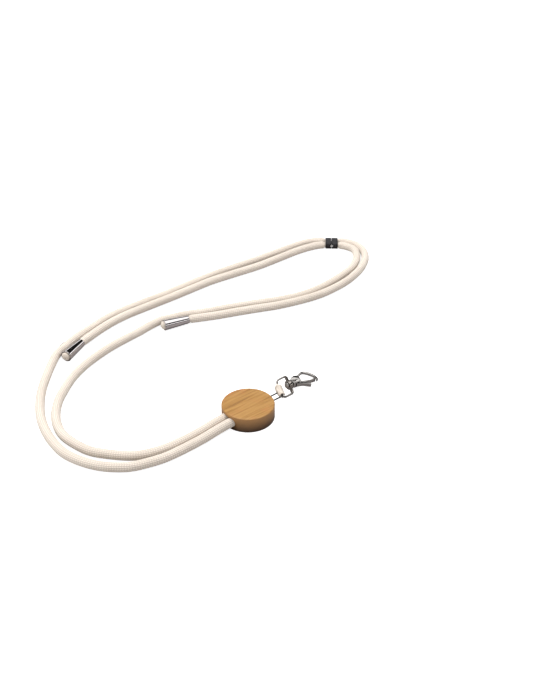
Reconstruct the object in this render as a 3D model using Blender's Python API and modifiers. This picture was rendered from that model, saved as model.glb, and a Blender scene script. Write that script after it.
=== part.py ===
# Phone crossbody strap: two cords leave a bamboo disc, run round through two sliding
# chrome ferrules and meet in a small breakaway clip. A wire tab and a soft tape on the
# other side of the disc carry a swivel snap hook. The disc's foot is on the floor at the
# origin, the hook points along +X and the neck loop lies towards +Y. Sizes are in metres.

import math

import bmesh
import bpy
import numpy as np
from mathutils import Matrix, Vector

GAP = 0.0003  # between pieces that touch on the real strap
FLOOR_GAP = 0.00005  # under all that lies beside the disc

# Bamboo disc
DISC_RADIUS = 0.020
DISC_HEIGHT = 0.0124
DISC_EDGE = 0.0008
DISC_MIDDLE = DISC_HEIGHT / 2
SLOT_DEPTH = 0.009

# Cords
CORD_DIAMETER = 0.0072
CORD_RADIUS = CORD_DIAMETER / 2
CORD_PITCH = 0.0075  # between the two cords where they enter a piece side by side
FERRULE_NECK = 0.00275  # cord radius where a ferrule grips it
CLIP_NECK = 0.0024  # cord radius inside the clip
NECK_RUN = 0.0026  # how far from a neck the cord is at full size again
TIP_REACH = 0.0026  # how far a cord's cut end stands out of its ferrule
TIP_SHAPE = ((0.02, 0.40), (0.25, 0.74), (0.60, 0.95), (1.0, 1.0))  # shares of reach and radius
CORD_STEP = 2.5 * CORD_DIAMETER
CORD_SAG = 0.00018  # how far a straight piece of tube may leave the smooth route

# Wire tab
WIRE_RADIUS = 0.0006
WIRE_SPREAD = 0.0055
WIRE_REACH = 0.032
WIRE_BURIED = 0.007
WIRE_CORNER = 0.0012

# Swivel eye
EYE_YAW = math.radians(0.5)
EYE_TILT = math.radians(51.5)
EYE_WIDTH = 0.0159
EYE_LENGTH = 0.0113
EYE_BAR = 0.0015
EYE_ROUND_CORNER = 0.0026
EYE_TIGHT_CORNER = 0.0012
EYE_FROM_WIRE = Vector((0.0082, 0.0049))
BRIDGE_THICK = 0.0018
BRIDGE_WIDTH = 0.0026
BOSS_RADIUS = 0.0038
BOSS_INSIDE = 0.0009  # how far the boss stands out of the bridge, inside the eye
BOSS_OUTSIDE = 0.0004

# Fabric loop
TAPE_THICK = 0.0014
TAPE_WIDTH = 0.0102

# Hook: u runs along the swivel axis from the middle of the eye's bridge, v to its left
HOOK_YAW = math.radians(4)
STUD_RADIUS = 0.0011
STUD_PLAY = 0.00035
HEAD_RADIUS = 0.0023
HEAD_THICK = 0.0013
COLLAR_RADIUS = 0.0028
COLLAR_THICK = 0.0013
STUD_SHOWS = 0.0007  # bare stud between the boss and the collar
BASE_LENGTH = 0.0138
BASE_THICK = 0.0052
BASE_TIP_THICK = 0.0042
BASE_SPREAD = 0.0064
BASE_EDGE = 0.0008
HOOK_REACH = 0.0280
CLAW_SPREAD = 0.0072
CLAW_BAR = 0.0025

# Trigger lever
LEVER_PIVOT = Vector((0.0090, 0.0006))
LEVER_THICK = 0.0028
LEVER_ROOT = 0.0019
LEVER_HEEL = Vector((-0.0042, -0.0044))  # from the pivot to the lever's back corner
GATE_THICK = 0.0013
THUMB_REACH = Vector((0.0060, -0.0102))  # from the pivot to the thumb tab's end
PIN_RADIUS = 0.00075

# Ferrules
FERRULE_LENGTH = 0.0228
FERRULE_MOUTH = 0.0048
FERRULE_ENTRY = 0.0034
FERRULE_RIM = 0.0007
FERRULE_SKIN = 0.0002  # how far the barrel stands back from its rolled rim
SADDLE_LENGTH = 0.011
SADDLE_WALL = 0.0008
SADDLE_OFFSET = Vector((0.0087, -0.0001))  # sideways and up from the ferrule's axis

# Breakaway clip
CLIP_CENTRE = Vector((0.2404, 0.1661))
CLIP_DIRECTION = Vector((0.743, -0.669))
CLIP_LENGTH = 0.0121
CLIP_WIDTH = 0.0142
CLIP_HEIGHT = 0.0068
CLIP_CORNER = 0.0026
CLIP_EDGE = 0.0005
CUP_DEPTH = 0.0028
CLIP_PIN_RADIUS = 0.0012
CLIP_PIN_LENGTH = 0.0048
CLIP_PIN_INSET = 0.0019  # from the near side face to the pin's axis
CLIP_WINDOW = Vector((0.0026, 0.0024))

# Tape sections: bar (0 wire, 1 eye), turn round it in degrees from its upper side,
# slack as a share of the thickness, width and sideways shift as shares of the width
TAPE_SECTIONS = (
    (0, 180, 0.15, 0.66, 0.16),
    (0, 135, 0.0, 0.36, 0.0),
    (0, 90, 0.0, 0.36, 0.0),
    (0, 45, 0.0, 0.36, 0.0),
    (0, 0, 0.25, 0.72, 0.20),
    (0.5, 0, 0.75, 0.96, 0.10),
    (1, 0, 0.30, 0.82, -0.08),
    (1, 45, 0.12, 0.80, -0.08),
    (1, 90, 0.12, 0.80, -0.08),
    (1, 135, 0.12, 0.80, -0.08),
    (1, 180, 0.30, 0.82, -0.08),
    (0.5, 180, 0.65, 0.96, 0.16),
)

# Claw: place from the base to the far end, side from the axis, bar thickness, as shares
CLAW_SECTIONS = (
    (-0.25, 0.50, 0.90),
    (0.0, 0.68, 0.68),
    (0.23, 0.95, 0.72),
    (0.46, 1.17, 0.80),
    (0.70, 1.22, 0.84),
    (0.88, 0.96, 0.94),
    (0.98, 0.44, 1.0),
    (1.0, -0.10, 1.0),
    (0.957, -0.53, 0.96),
    (0.877, -0.76, 0.88),
    (0.754, -0.92, 0.68),
    (0.725, -0.935, 0.40),
)

# Base outline: place along and across as shares of its length and spread, and radius
BASE_OUTLINE = (
    (0.19, -0.39, 0.0006),
    (0.30, -0.48, 0.0010),
    (0.61, -0.44, 0.0010),
    (0.77, -0.25, 0.0015),
    (0.92, 0.0, 0.0010),
    (1.0, 0.50, 0.0008),
    (1.02, 0.86, 0.0008),
    (0.81, 1.05, 0.0018),
    (0.48, 0.81, 0.0018),
    (0.22, 0.39, 0.0006),
)

# Lever outline, as shares: how far the gate bows out, and where the notch behind the
# thumb tab is on the way to the tab's end
GATE_BOW = 0.05
NOTCH = Vector((0.42, 0.52))

# Cord routes, chosen by hand on the floor plan. Each end route has its tip first and the
# ferrule's mouth second.
OUTER_ROUTE = (
    (-0.0113, -0.00375, 0.0062), (-0.021, -0.00375, 0.0062), (-0.032, -0.0037, 0.0053),
    (-0.045, -0.0038, 0.0040), (-0.062, -0.0040, 0.00365), (-0.078, -0.0033, 0.00365),
    (-0.090, -0.0006, 0.00365), (-0.102, 0.0039, 0.00365), (-0.113, 0.0126, 0.00365),
    (-0.1205, 0.022, 0.00365), (-0.127, 0.0355, 0.00365), (-0.130, 0.048, 0.00365),
    (-0.1298, 0.062, 0.00365), (-0.1273, 0.0775, 0.00365), (-0.1222, 0.094, 0.00365),
    (-0.1143, 0.110, 0.00365), (-0.1042, 0.1254, 0.00365), (-0.0925, 0.1394, 0.00365),
    (-0.0803, 0.1525, 0.0039), (-0.07008, 0.16163, 0.00475), (-0.05963, 0.16668, 0.00475),
    (-0.04918, 0.17173, 0.00475), (-0.0365, 0.1769, 0.0041), (-0.023, 0.1814, 0.00365),
    (-0.0083, 0.1854, 0.00365), (0.005, 0.1872, 0.00365), (0.0302, 0.1878, 0.00365),
    (0.056, 0.1876, 0.00365), (0.0837, 0.1887, 0.00365), (0.1116, 0.1892, 0.00365),
    (0.1389, 0.1877, 0.00365), (0.167, 0.186, 0.00365), (0.197, 0.1852, 0.00365),
    (0.2121, 0.1846, 0.00365), (0.2253, 0.182, 0.00365), (0.2332, 0.1774, 0.0036),
    (0.2384, 0.173, 0.00345), (0.24025, 0.1713, 0.00345),
)
LEFT_END_ROUTE = (
    (-0.06864, 0.15267, 0.00485), (-0.0663, 0.1538, 0.00485), (-0.05585, 0.15885, 0.00485),
    (-0.0454, 0.1639, 0.00485), (-0.0349, 0.1685, 0.0042), (-0.0195, 0.1742, 0.00365),
    (-0.0054, 0.1775, 0.00365),
    (0.0085, 0.1793, 0.00365), (0.0334, 0.1797, 0.00365), (0.0597, 0.1798, 0.00365),
    (0.0874, 0.1806, 0.00365), (0.1015, 0.1808, 0.00365), (0.1277, 0.1782, 0.00365),
    (0.1546, 0.1753, 0.00365), (0.1847, 0.1752, 0.00365), (0.2005, 0.1753, 0.00365),
    (0.2158, 0.1738, 0.00365), (0.2277, 0.1707, 0.0036), (0.2334, 0.1674, 0.00345),
    (0.23525, 0.16572, 0.00345),
)
INNER_ROUTE = (
    (-0.0113, 0.00375, 0.0062), (-0.021, 0.00375, 0.0062), (-0.032, 0.0038, 0.0053),
    (-0.046, 0.0038, 0.0040), (-0.060, 0.0040, 0.00365), (-0.0726, 0.0049, 0.00365),
    (-0.083, 0.0074, 0.00365), (-0.0936, 0.0125, 0.00365), (-0.1075, 0.0268, 0.00365),
    (-0.1145, 0.037, 0.00365), (-0.1185, 0.0505, 0.00365), (-0.1199, 0.0666, 0.00365),
    (-0.1142, 0.0859, 0.00365), (-0.1031, 0.1026, 0.00365), (-0.0899, 0.1153, 0.00365),
    (-0.0754, 0.1264, 0.00365), (-0.061, 0.1341, 0.00365), (-0.0472, 0.1393, 0.00365),
    (-0.0314, 0.1438, 0.00365), (-0.0148, 0.1468, 0.00365), (0.0015, 0.1490, 0.00365),
    (0.0130, 0.1508, 0.0040), (0.02457, 0.15103, 0.00475), (0.03547, 0.14823, 0.00475),
    (0.04637, 0.14542, 0.00475), (0.0555, 0.1423, 0.0042), (0.0649, 0.1390, 0.00365),
    (0.0858, 0.1314, 0.00365), (0.1062, 0.1230, 0.00365), (0.126, 0.1142, 0.00365),
    (0.1487, 0.1074, 0.00365), (0.1629, 0.1062, 0.00365), (0.1798, 0.1070, 0.00365),
    (0.2023, 0.1108, 0.00365), (0.2205, 0.1162, 0.00365), (0.2372, 0.1272, 0.00365),
    (0.2462, 0.1385, 0.00365), (0.2479, 0.145, 0.00365), (0.2455, 0.1541, 0.0036),
    (0.2424, 0.1593, 0.00345), (0.24054, 0.16092, 0.00345),
)
RIGHT_END_ROUTE = (
    (0.01988, 0.14325, 0.00485), (0.0224, 0.1426, 0.00485), (0.0333, 0.1398, 0.00485),
    (0.0442, 0.137, 0.00485), (0.053, 0.1342, 0.0042), (0.0672, 0.1286, 0.00365), (0.0874, 0.1208, 0.00365),
    (0.1077, 0.1124, 0.00365), (0.1181, 0.1079, 0.00365), (0.1295, 0.1043, 0.00365),
    (0.1412, 0.1012, 0.00365), (0.1526, 0.0988, 0.00365), (0.1658, 0.0974, 0.00365),
    (0.1817, 0.0979, 0.00365), (0.199, 0.1003, 0.00365), (0.2143, 0.1049, 0.00365),
    (0.223, 0.1084, 0.00365), (0.2321, 0.1134, 0.00365), (0.2417, 0.1203, 0.00365),
    (0.2492, 0.1285, 0.00365), (0.2539, 0.1375, 0.00365), (0.2556, 0.146, 0.00365),
    (0.2543, 0.1545, 0.00365), (0.2512, 0.1612, 0.0036), (0.2474, 0.1649, 0.00345),
    (0.24554, 0.16658, 0.00345),
)


# Places worked out from the sizes
EYE_AXIS = Vector((math.cos(EYE_YAW), math.sin(EYE_YAW), 0))
EYE_FLAT = Vector((-math.sin(EYE_YAW), math.cos(EYE_YAW), 0))
EYE_ACROSS = EYE_FLAT * math.cos(EYE_TILT) + Vector((0, 0, math.sin(EYE_TILT)))
EYE_NORMAL = EYE_AXIS.cross(EYE_ACROSS)
EYE_CENTRE_HEIGHT = FLOOR_GAP + EYE_BAR / 2 + (EYE_WIDTH - EYE_BAR) / 2 * math.sin(EYE_TILT)
EYE_CENTRE = Vector((WIRE_REACH + EYE_FROM_WIRE.x, EYE_FROM_WIRE.y, EYE_CENTRE_HEIGHT))
SWIVEL_CENTRE = EYE_CENTRE + EYE_AXIS * (EYE_LENGTH - BRIDGE_THICK) / 2
HOOK_PITCH = math.asin((SWIVEL_CENTRE.z - FLOOR_GAP - CLAW_BAR / 2) / HOOK_REACH)
HOOK_TURN = Matrix.Rotation(HOOK_YAW, 4, "Z") @ Matrix.Rotation(HOOK_PITCH, 4, "Y")
HOOK_PLACE = Matrix.Translation(SWIVEL_CENTRE) @ HOOK_TURN
HOOK_SWING = math.tan(EYE_AXIS.angle(HOOK_TURN.to_3x3().col[0]))
CLIP_PLACE = Matrix.Translation((*CLIP_CENTRE, FLOOR_GAP + CLIP_HEIGHT / 2)) @ Matrix.Rotation(
    math.atan2(CLIP_DIRECTION.y, CLIP_DIRECTION.x), 4, "Z"
)


def start_scene():
    for obj in list(bpy.data.objects):
        bpy.data.objects.remove(obj, do_unlink=True)
    for name in ("phone_crossbody_strap", "cutters"):
        group = bpy.data.collections.new(name)
        bpy.context.scene.collection.children.link(group)
    return bpy.data.collections["phone_crossbody_strap"], bpy.data.collections["cutters"]


PARTS, CUTTERS = start_scene()


def plain_material(name, colour, roughness, metallic=0.0):
    material = bpy.data.materials.new(name)
    material.use_nodes = True
    shader = material.node_tree.nodes["Principled BSDF"]
    shader.inputs["Base Color"].default_value = (*colour, 1)
    shader.inputs["Roughness"].default_value = roughness
    shader.inputs["Metallic"].default_value = metallic
    return material


def add_object(name, data, place=None, helper=False):
    obj = bpy.data.objects.new(name, data)
    (CUTTERS if helper else PARTS).objects.link(obj)
    if place is not None:
        obj.matrix_world = place
    if helper:
        obj.hide_render = True
        obj.display_type = "WIRE"
    return obj


def finish(obj, material, sharp=math.radians(35)):
    obj.data.materials.append(material)
    if obj.type == "MESH":
        obj.data.shade_smooth()
        obj.data.set_sharp_from_angle(angle=sharp)
    return obj


def rounded(corners, closed=True, steps=5):
    """Points round an outline whose corners are (x, y, radius)."""
    points = []
    count = len(corners)
    for i, (x, y, radius) in enumerate(corners):
        corner = Vector((x, y))
        if radius == 0 or (not closed and i in (0, count - 1)):
            points.append(corner)
            continue
        back = (Vector(corners[i - 1][:2]) - corner).normalized()
        on = (Vector(corners[(i + 1) % count][:2]) - corner).normalized()
        half = back.angle(on) / 2
        centre = corner + (back + on).normalized() * (radius / math.sin(half))
        first = corner + back * (radius / math.tan(half)) - centre
        last = corner + on * (radius / math.tan(half)) - centre
        start = math.atan2(first.y, first.x)
        turn = (math.atan2(last.y, last.x) - start + math.pi) % (2 * math.pi) - math.pi
        for step in range(steps + 1):
            angle = start + turn * step / steps
            points.append(centre + radius * Vector((math.cos(angle), math.sin(angle))))
    return points


def to_mesh_object(obj, name, helper):
    """The curve as a welded mesh, which Booleans can use."""
    bpy.context.view_layer.update()
    graph = bpy.context.evaluated_depsgraph_get()
    mesh = bpy.data.meshes.new_from_object(obj.evaluated_get(graph))
    place = obj.matrix_world.copy()
    bpy.data.objects.remove(obj)
    shape = bmesh.new()
    shape.from_mesh(mesh)
    bmesh.ops.remove_doubles(shape, verts=shape.verts, dist=1e-6)
    bmesh.ops.recalc_face_normals(shape, faces=shape.faces)
    shape.to_mesh(mesh)
    shape.free()
    return add_object(name, mesh, place, helper)


def tube(name, points, radius, place=None, sizes=None, closed=False, resolution=2, helper=False):
    """A round bar along points, with each point's share of the radius in sizes."""
    curve = bpy.data.curves.new(name, "CURVE")
    curve.dimensions = "3D"
    curve.bevel_depth = radius
    curve.bevel_resolution = resolution
    curve.use_fill_caps = True
    spline = curve.splines.new("POLY")
    spline.points.add(len(points) - 1)
    for i, point in enumerate(points):
        spline.points[i].co = (*point, 1)
        spline.points[i].radius = 1 if sizes is None else sizes[i]
    spline.use_cyclic_u = closed
    return add_object(name, curve, place, helper)


def slab(name, outline, thickness, place=None, helper=False):
    """A flat outline in x and y, as thick as given about its own plane."""
    curve = bpy.data.curves.new(name, "CURVE")
    curve.dimensions = "2D"
    curve.fill_mode = "BOTH"
    curve.extrude = thickness / 2
    spline = curve.splines.new("POLY")
    spline.points.add(len(outline) - 1)
    for i, point in enumerate(outline):
        spline.points[i].co = (point[0], point[1], 0, 1)
    spline.use_cyclic_u = True
    return to_mesh_object(add_object(name + "_outline", curve, place, helper), name, helper)


def turned(name, profile, place=None, helper=False, steps=32):
    """A profile of (radius, height), from the top of the axis to its bottom, spun round Z."""
    mesh = bpy.data.meshes.new(name)
    count = len(profile)
    mesh.from_pydata([(r, 0, z) for r, z in profile], [(i, i + 1) for i in range(count - 1)], [])
    obj = add_object(name, mesh, place, helper)
    screw = obj.modifiers.new("turn", "SCREW")
    screw.axis = "Z"
    screw.steps = steps
    screw.render_steps = steps
    screw.use_merge_vertices = True
    screw.merge_threshold = 0.000001
    screw.use_smooth_shade = True
    return obj


def cylinder(name, radius, start, end, place=None, helper=True, sides=24):
    shape = bmesh.new()
    run = Vector(end) - Vector(start)
    bmesh.ops.create_cone(
        shape, cap_ends=True, segments=sides, radius1=radius, radius2=radius, depth=run.length
    )
    turn = run.to_track_quat("Z", "Y").to_matrix().to_4x4()
    middle = Matrix.Translation((Vector(start) + Vector(end)) / 2)
    bmesh.ops.transform(shape, matrix=middle @ turn, verts=shape.verts)
    mesh = bpy.data.meshes.new(name)
    shape.to_mesh(mesh)
    shape.free()
    return add_object(name, mesh, place, helper)


def box(name, low, high, place=None, helper=True):
    shape = bmesh.new()
    bmesh.ops.create_cube(shape, size=1)
    size = Vector(high) - Vector(low)
    bmesh.ops.scale(shape, vec=size, verts=shape.verts)
    bmesh.ops.translate(shape, vec=(Vector(low) + Vector(high)) / 2, verts=shape.verts)
    mesh = bpy.data.meshes.new(name)
    shape.to_mesh(mesh)
    shape.free()
    return add_object(name, mesh, place, helper)


def combine(obj, other, operation="DIFFERENCE"):
    modifier = obj.modifiers.new(other.name, "BOOLEAN")
    modifier.operation = operation
    modifier.object = other
    modifier.solver = "EXACT"


def ease_edges(obj, width, segments=2):
    bevel = obj.modifiers.new("eased edges", "BEVEL")
    bevel.width = width
    bevel.segments = segments
    bevel.limit_method = "ANGLE"
    bevel.angle_limit = math.radians(40)


def build_disc():
    disc = cylinder(
        "bamboo_disc", DISC_RADIUS, (0, 0, 0), (0, 0, DISC_HEIGHT), helper=False, sides=56
    )
    ease_edges(disc, DISC_EDGE, 3)
    half_width = CORD_PITCH / 2 + CORD_RADIUS + GAP
    half_height = CORD_RADIUS + GAP
    corners = [
        (x * half_width, y * half_height, half_height * 0.999)
        for x, y in ((-1, -1), (1, -1), (1, 1), (-1, 1))
    ]
    sideways = Matrix.Rotation(math.radians(90), 4, "Z") @ Matrix.Rotation(math.radians(90), 4, "X")
    middle = Matrix.Translation((-DISC_RADIUS, 0, DISC_MIDDLE)) @ sideways
    combine(disc, slab("cord_slot", rounded(corners, steps=8), 2 * SLOT_DEPTH, middle, helper=True))
    for side in (-1, 1):
        y = side * WIRE_SPREAD / 2
        inner = (DISC_RADIUS - WIRE_BURIED - GAP, y, DISC_MIDDLE)
        outer = (DISC_RADIUS + GAP, y, DISC_MIDDLE)
        combine(disc, cylinder(f"wire_hole_{side}", WIRE_RADIUS + GAP, inner, outer, sides=12))
    return finish(disc, plain_material("bamboo", (0.52, 0.32, 0.14), 0.45))


def build_wire_tab():
    start = DISC_RADIUS - WIRE_BURIED
    half = WIRE_SPREAD / 2
    corners = (
        (start, -half, 0),
        (WIRE_REACH, -half, WIRE_CORNER),
        (WIRE_REACH, half, WIRE_CORNER),
        (start, half, 0),
    )
    points = [(p.x, p.y, DISC_MIDDLE) for p in rounded(corners, closed=False, steps=4)]
    return finish(
        tube("wire_tab", points, WIRE_RADIUS), plain_material("tab_wire", (0.5, 0.5, 0.5), 0.2, 1)
    )


def build_eye():
    place = Matrix.Translation(EYE_CENTRE) @ Matrix(
        (EYE_AXIS, EYE_ACROSS, EYE_NORMAL)
    ).transposed().to_4x4()
    x = (EYE_LENGTH - EYE_BAR) / 2
    y = (EYE_WIDTH - EYE_BAR) / 2
    corners = (
        (-x, -y, EYE_ROUND_CORNER),
        (x, -y, EYE_TIGHT_CORNER),
        (x, y, EYE_TIGHT_CORNER),
        (-x, y, EYE_ROUND_CORNER),
    )
    ring = [(p.x, p.y, 0) for p in rounded(corners)]
    bars = tube("swivel_eye_bars", ring, EYE_BAR / 2, place, closed=True, resolution=3)
    eye = to_mesh_object(bars, "swivel_eye", False)
    outer = EYE_LENGTH / 2
    inner = outer - BRIDGE_THICK
    long = y - EYE_BAR / 4
    wide = BRIDGE_WIDTH / 2
    combine(eye, box("eye_bridge", (inner, -long, -wide), (outer, long, wide), place), "UNION")
    boss_ends = ((inner - BOSS_INSIDE, 0, 0), (outer + BOSS_OUTSIDE, 0, 0))
    boss = cylinder("eye_boss", BOSS_RADIUS, *boss_ends, place)
    combine(eye, boss, "UNION")
    reach = BRIDGE_THICK * 2
    hole = STUD_RADIUS + STUD_PLAY
    combine(eye, cylinder("stud_hole", hole, (-reach, 0, 0), (reach, 0, 0), HOOK_PLACE))
    return finish(eye, plain_material("eye_chrome", (0.6, 0.6, 0.6), 0.12, 1))


def build_tape():
    bars = (
        (Vector((WIRE_REACH, 0, DISC_MIDDLE)), Vector((0, 0, 1)), Vector((-1, 0, 0)),
         Vector((0, 1, 0)), WIRE_RADIUS),
        (EYE_CENTRE - EYE_AXIS * (EYE_LENGTH - EYE_BAR) / 2, EYE_NORMAL, EYE_AXIS,
         EYE_ACROSS, EYE_BAR / 2),
    )
    shape = bmesh.new()
    rings = []
    for bar, turn, slack, width, shift in TAPE_SECTIONS:
        frame = []
        for centre, up, out, along, radius in bars:
            away = up * math.cos(math.radians(turn)) + out * math.sin(math.radians(turn))
            lift = radius + GAP + TAPE_THICK * (0.5 + slack)
            frame.append((centre + away * lift + along * shift * TAPE_WIDTH, away, along))
        middle = frame[0][0].lerp(frame[1][0], bar)
        away = frame[0][1].lerp(frame[1][1], bar).normalized()
        along = frame[0][2].lerp(frame[1][2], bar).normalized()
        half = width * TAPE_WIDTH / 2
        round_off = TAPE_THICK * 0.42
        corners = [
            (x * half, y * TAPE_THICK / 2, round_off)
            for x, y in ((-1, -1), (1, -1), (1, 1), (-1, 1))
        ]
        section = rounded(corners, steps=1)
        rings.append([shape.verts.new(middle + along * p.x + away * p.y) for p in section])
    for ring, following in zip(rings, rings[1:] + rings[:1]):
        for i in range(len(ring)):
            j = (i + 1) % len(ring)
            shape.faces.new((ring[i], ring[j], following[j], following[i]))
    bmesh.ops.recalc_face_normals(shape, faces=shape.faces)
    mesh = bpy.data.meshes.new("fabric_loop")
    shape.to_mesh(mesh)
    shape.free()
    tape = add_object("fabric_loop", mesh)
    smooth = tape.modifiers.new("soft", "SUBSURF")
    smooth.levels = 1
    smooth.render_levels = 1
    return finish(tape, plain_material("cream_tape", (0.80, 0.74, 0.62), 0.9), math.pi)


def claw_points():
    places = []
    for along, across, thick in CLAW_SECTIONS:
        u = BASE_LENGTH + (HOOK_REACH - BASE_LENGTH) * along
        places.append((u, across * CLAW_SPREAD, thick))
    return places


def build_hook():
    outline = [(u * BASE_LENGTH, v * BASE_SPREAD, r) for u, v, r in BASE_OUTLINE]
    hook = slab("swivel_hook", rounded(outline, steps=4), BASE_THICK, HOOK_PLACE)
    for vertex in hook.data.vertices:
        share = vertex.co.x / BASE_LENGTH
        vertex.co.z *= 1 - (1 - BASE_TIP_THICK / BASE_THICK) * share
    ease_edges(hook, BASE_EDGE)
    head = -BRIDGE_THICK / 2 - BOSS_INSIDE - GAP - HEAD_RADIUS * HOOK_SWING
    collar = BRIDGE_THICK / 2 + BOSS_OUTSIDE + STUD_SHOWS + COLLAR_RADIUS * HOOK_SWING
    profile = [
        (0, collar + 3 * COLLAR_THICK),
        (COLLAR_RADIUS * 0.7, collar + 3 * COLLAR_THICK),
        (COLLAR_RADIUS * 0.86, collar + COLLAR_THICK * 1.4),
        (COLLAR_RADIUS, collar + COLLAR_THICK),
        (COLLAR_RADIUS, collar + COLLAR_THICK * 0.2),
        (COLLAR_RADIUS * 0.95, collar),
        (STUD_RADIUS, collar),
        (STUD_RADIUS, head),
        (HEAD_RADIUS * 0.95, head),
        (HEAD_RADIUS, head - HEAD_THICK * 0.15),
    ]
    for angle in (15, 35, 55, 75):
        rise = math.sin(math.radians(angle))
        run = math.cos(math.radians(angle))
        profile.append((HEAD_RADIUS * run, head - HEAD_THICK * (0.15 + 0.85 * rise)))
    profile.append((0, head - HEAD_THICK))
    lengthwise = HOOK_PLACE @ Matrix.Rotation(math.radians(90), 4, "Y")
    combine(hook, turned("swivel_stud", profile, lengthwise, helper=True, steps=24), "UNION")
    bar = claw_points()
    path = smooth_line([(u, v, 0) for u, v, _ in bar], CLAW_BAR * 0.6)
    thick = np.interp(
        np.linspace(0, 1, len(path)), np.linspace(0, 1, len(bar)), [size for _, _, size in bar]
    )
    claw = tube("claw_bar", path, CLAW_BAR / 2, HOOK_PLACE, thick, resolution=2, helper=True)
    combine(hook, to_mesh_object(claw, "claw", True), "UNION")
    heel = LEVER_PIVOT + LEVER_HEEL
    back = LEVER_PIVOT.x - LEVER_ROOT - GAP * 1.5
    top = LEVER_PIVOT.y + LEVER_ROOT + GAP * 1.5
    low = -2 * BASE_SPREAD
    far = 1.5 * BASE_LENGTH
    slot = (
        (heel.x - GAP * 2, low),
        (far, low),
        (far, top),
        (back, top),
        (back, heel.y + LEVER_ROOT * 2.15),
        (heel.x - GAP * 2, heel.y + LEVER_ROOT * 1.15),
    )
    combine(hook, slab("lever_slot", slot, LEVER_THICK + 2 * GAP, HOOK_PLACE, helper=True))
    deep = BASE_THICK * 0.42
    pin = cylinder(
        "lever_pin", PIN_RADIUS, (*LEVER_PIVOT, -deep), (*LEVER_PIVOT, deep), HOOK_PLACE, sides=16
    )
    combine(hook, pin, "UNION")
    return finish(hook, plain_material("hook_metal", (0.62, 0.62, 0.62), 0.25, 1))


def build_lever():
    nose_u, nose_v, nose_size = claw_points()[-2]
    low = Vector((nose_u, nose_v + nose_size * CLAW_BAR / 2 + GAP * 1.5)) - LEVER_PIVOT
    high = low + Vector((0, GATE_THICK))
    knee = Vector((LEVER_ROOT * 1.6, LEVER_HEEL.y * 0.62))
    bow = GATE_BOW * low.x
    middle = knee.lerp(high, 0.5) - Vector((0, bow))
    notch = Vector((THUMB_REACH.x * NOTCH.x, THUMB_REACH.y * NOTCH.y))
    tab = THUMB_REACH.normalized() * GATE_THICK
    side = Vector((-tab.y, tab.x))
    root = LEVER_ROOT
    corners = (
        (-root, root, root * 0.95),
        (-root, -root * 0.5, root * 0.8),
        (LEVER_HEEL.x, LEVER_HEEL.y + root, root * 0.4),
        (LEVER_HEEL.x, LEVER_HEEL.y, root * 0.3),
        (notch.x - root * 0.8, notch.y - root * 0.35, root * 1.5),
        (*(THUMB_REACH - side * 0.5), GATE_THICK * 0.35),
        (*(THUMB_REACH + side * 0.5), GATE_THICK * 0.35),
        (*(notch + side * 0.9), GATE_THICK * 0.6),
        (*(middle - Vector((0, GATE_THICK * 1.3))), low.x * 0.3),
        (*low, GATE_THICK * 0.25),
        (*high, GATE_THICK * 0.4),
        (*middle, low.x * 0.4),
        (*knee, root),
        (root, root, root * 0.95),
    )
    place = HOOK_PLACE @ Matrix.Translation((*LEVER_PIVOT, 0))
    lever = slab("trigger_lever", rounded(corners, steps=4), LEVER_THICK, place)
    ease_edges(lever, 0.0003)
    bore = PIN_RADIUS + GAP
    hole = cylinder("lever_bore", bore, (0, 0, -LEVER_THICK), (0, 0, LEVER_THICK), place, sides=16)
    combine(lever, hole)
    return finish(lever, plain_material("lever_metal", (0.6, 0.6, 0.6), 0.15, 1))


def build_ferrule(name, mouth, entry, material):
    """A tapered barrel from its open mouth to the end where its cord goes in."""
    mouth = Vector(mouth)
    along = (Vector(entry) - mouth).normalized()
    place = Matrix.Translation(mouth) @ Matrix.Rotation(math.atan2(along.y, along.x), 4, "Z")
    upright = place @ Matrix.Rotation(math.radians(90), 4, "Y")
    barrel = FERRULE_MOUTH - FERRULE_SKIN
    profile = [
        (0, FERRULE_LENGTH),
        (FERRULE_ENTRY - 0.00015, FERRULE_LENGTH),
        (FERRULE_ENTRY, FERRULE_LENGTH - 0.0003),
        (barrel, FERRULE_RIM * 1.4),
        (FERRULE_MOUTH, FERRULE_RIM),
        (FERRULE_MOUTH, FERRULE_RIM * 0.4),
        (barrel, 0),
        (0, 0),
    ]
    ferrule = turned(name, profile, upright, steps=28)
    side, rise = SADDLE_OFFSET
    start = (FERRULE_LENGTH - SADDLE_LENGTH) / 2
    run = ((start, side, rise), (start + SADDLE_LENGTH, side, rise))
    over = ((start - GAP, side, rise), (start + SADDLE_LENGTH + GAP, side, rise))
    channel = CORD_RADIUS + GAP
    shell = cylinder(name + "_saddle", channel + SADDLE_WALL, *run, place, sides=24)
    combine(ferrule, shell, "UNION")
    combine(ferrule, cylinder(name + "_channel", channel, *over, place, sides=24))
    low = (over[0][0], side - 2 * channel, rise + channel * 0.25)
    high = (over[1][0], side + 2 * channel, rise + 2 * channel)
    keep_off = FERRULE_MOUTH * 1.05
    low = (low[0], keep_off, low[2])
    combine(ferrule, box(name + "_mouth", low, high, place))
    bore = [
        (0, FERRULE_LENGTH * 1.1),
        (FERRULE_NECK + GAP, FERRULE_LENGTH * 1.1),
        (FERRULE_NECK + GAP, FERRULE_LENGTH),
        (CORD_RADIUS + GAP, 0),
        (CORD_RADIUS + GAP, -FERRULE_LENGTH * 0.1),
        (0, -FERRULE_LENGTH * 0.1),
    ]
    combine(ferrule, turned(name + "_bore", bore, upright, helper=True))
    return finish(ferrule, material)


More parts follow.
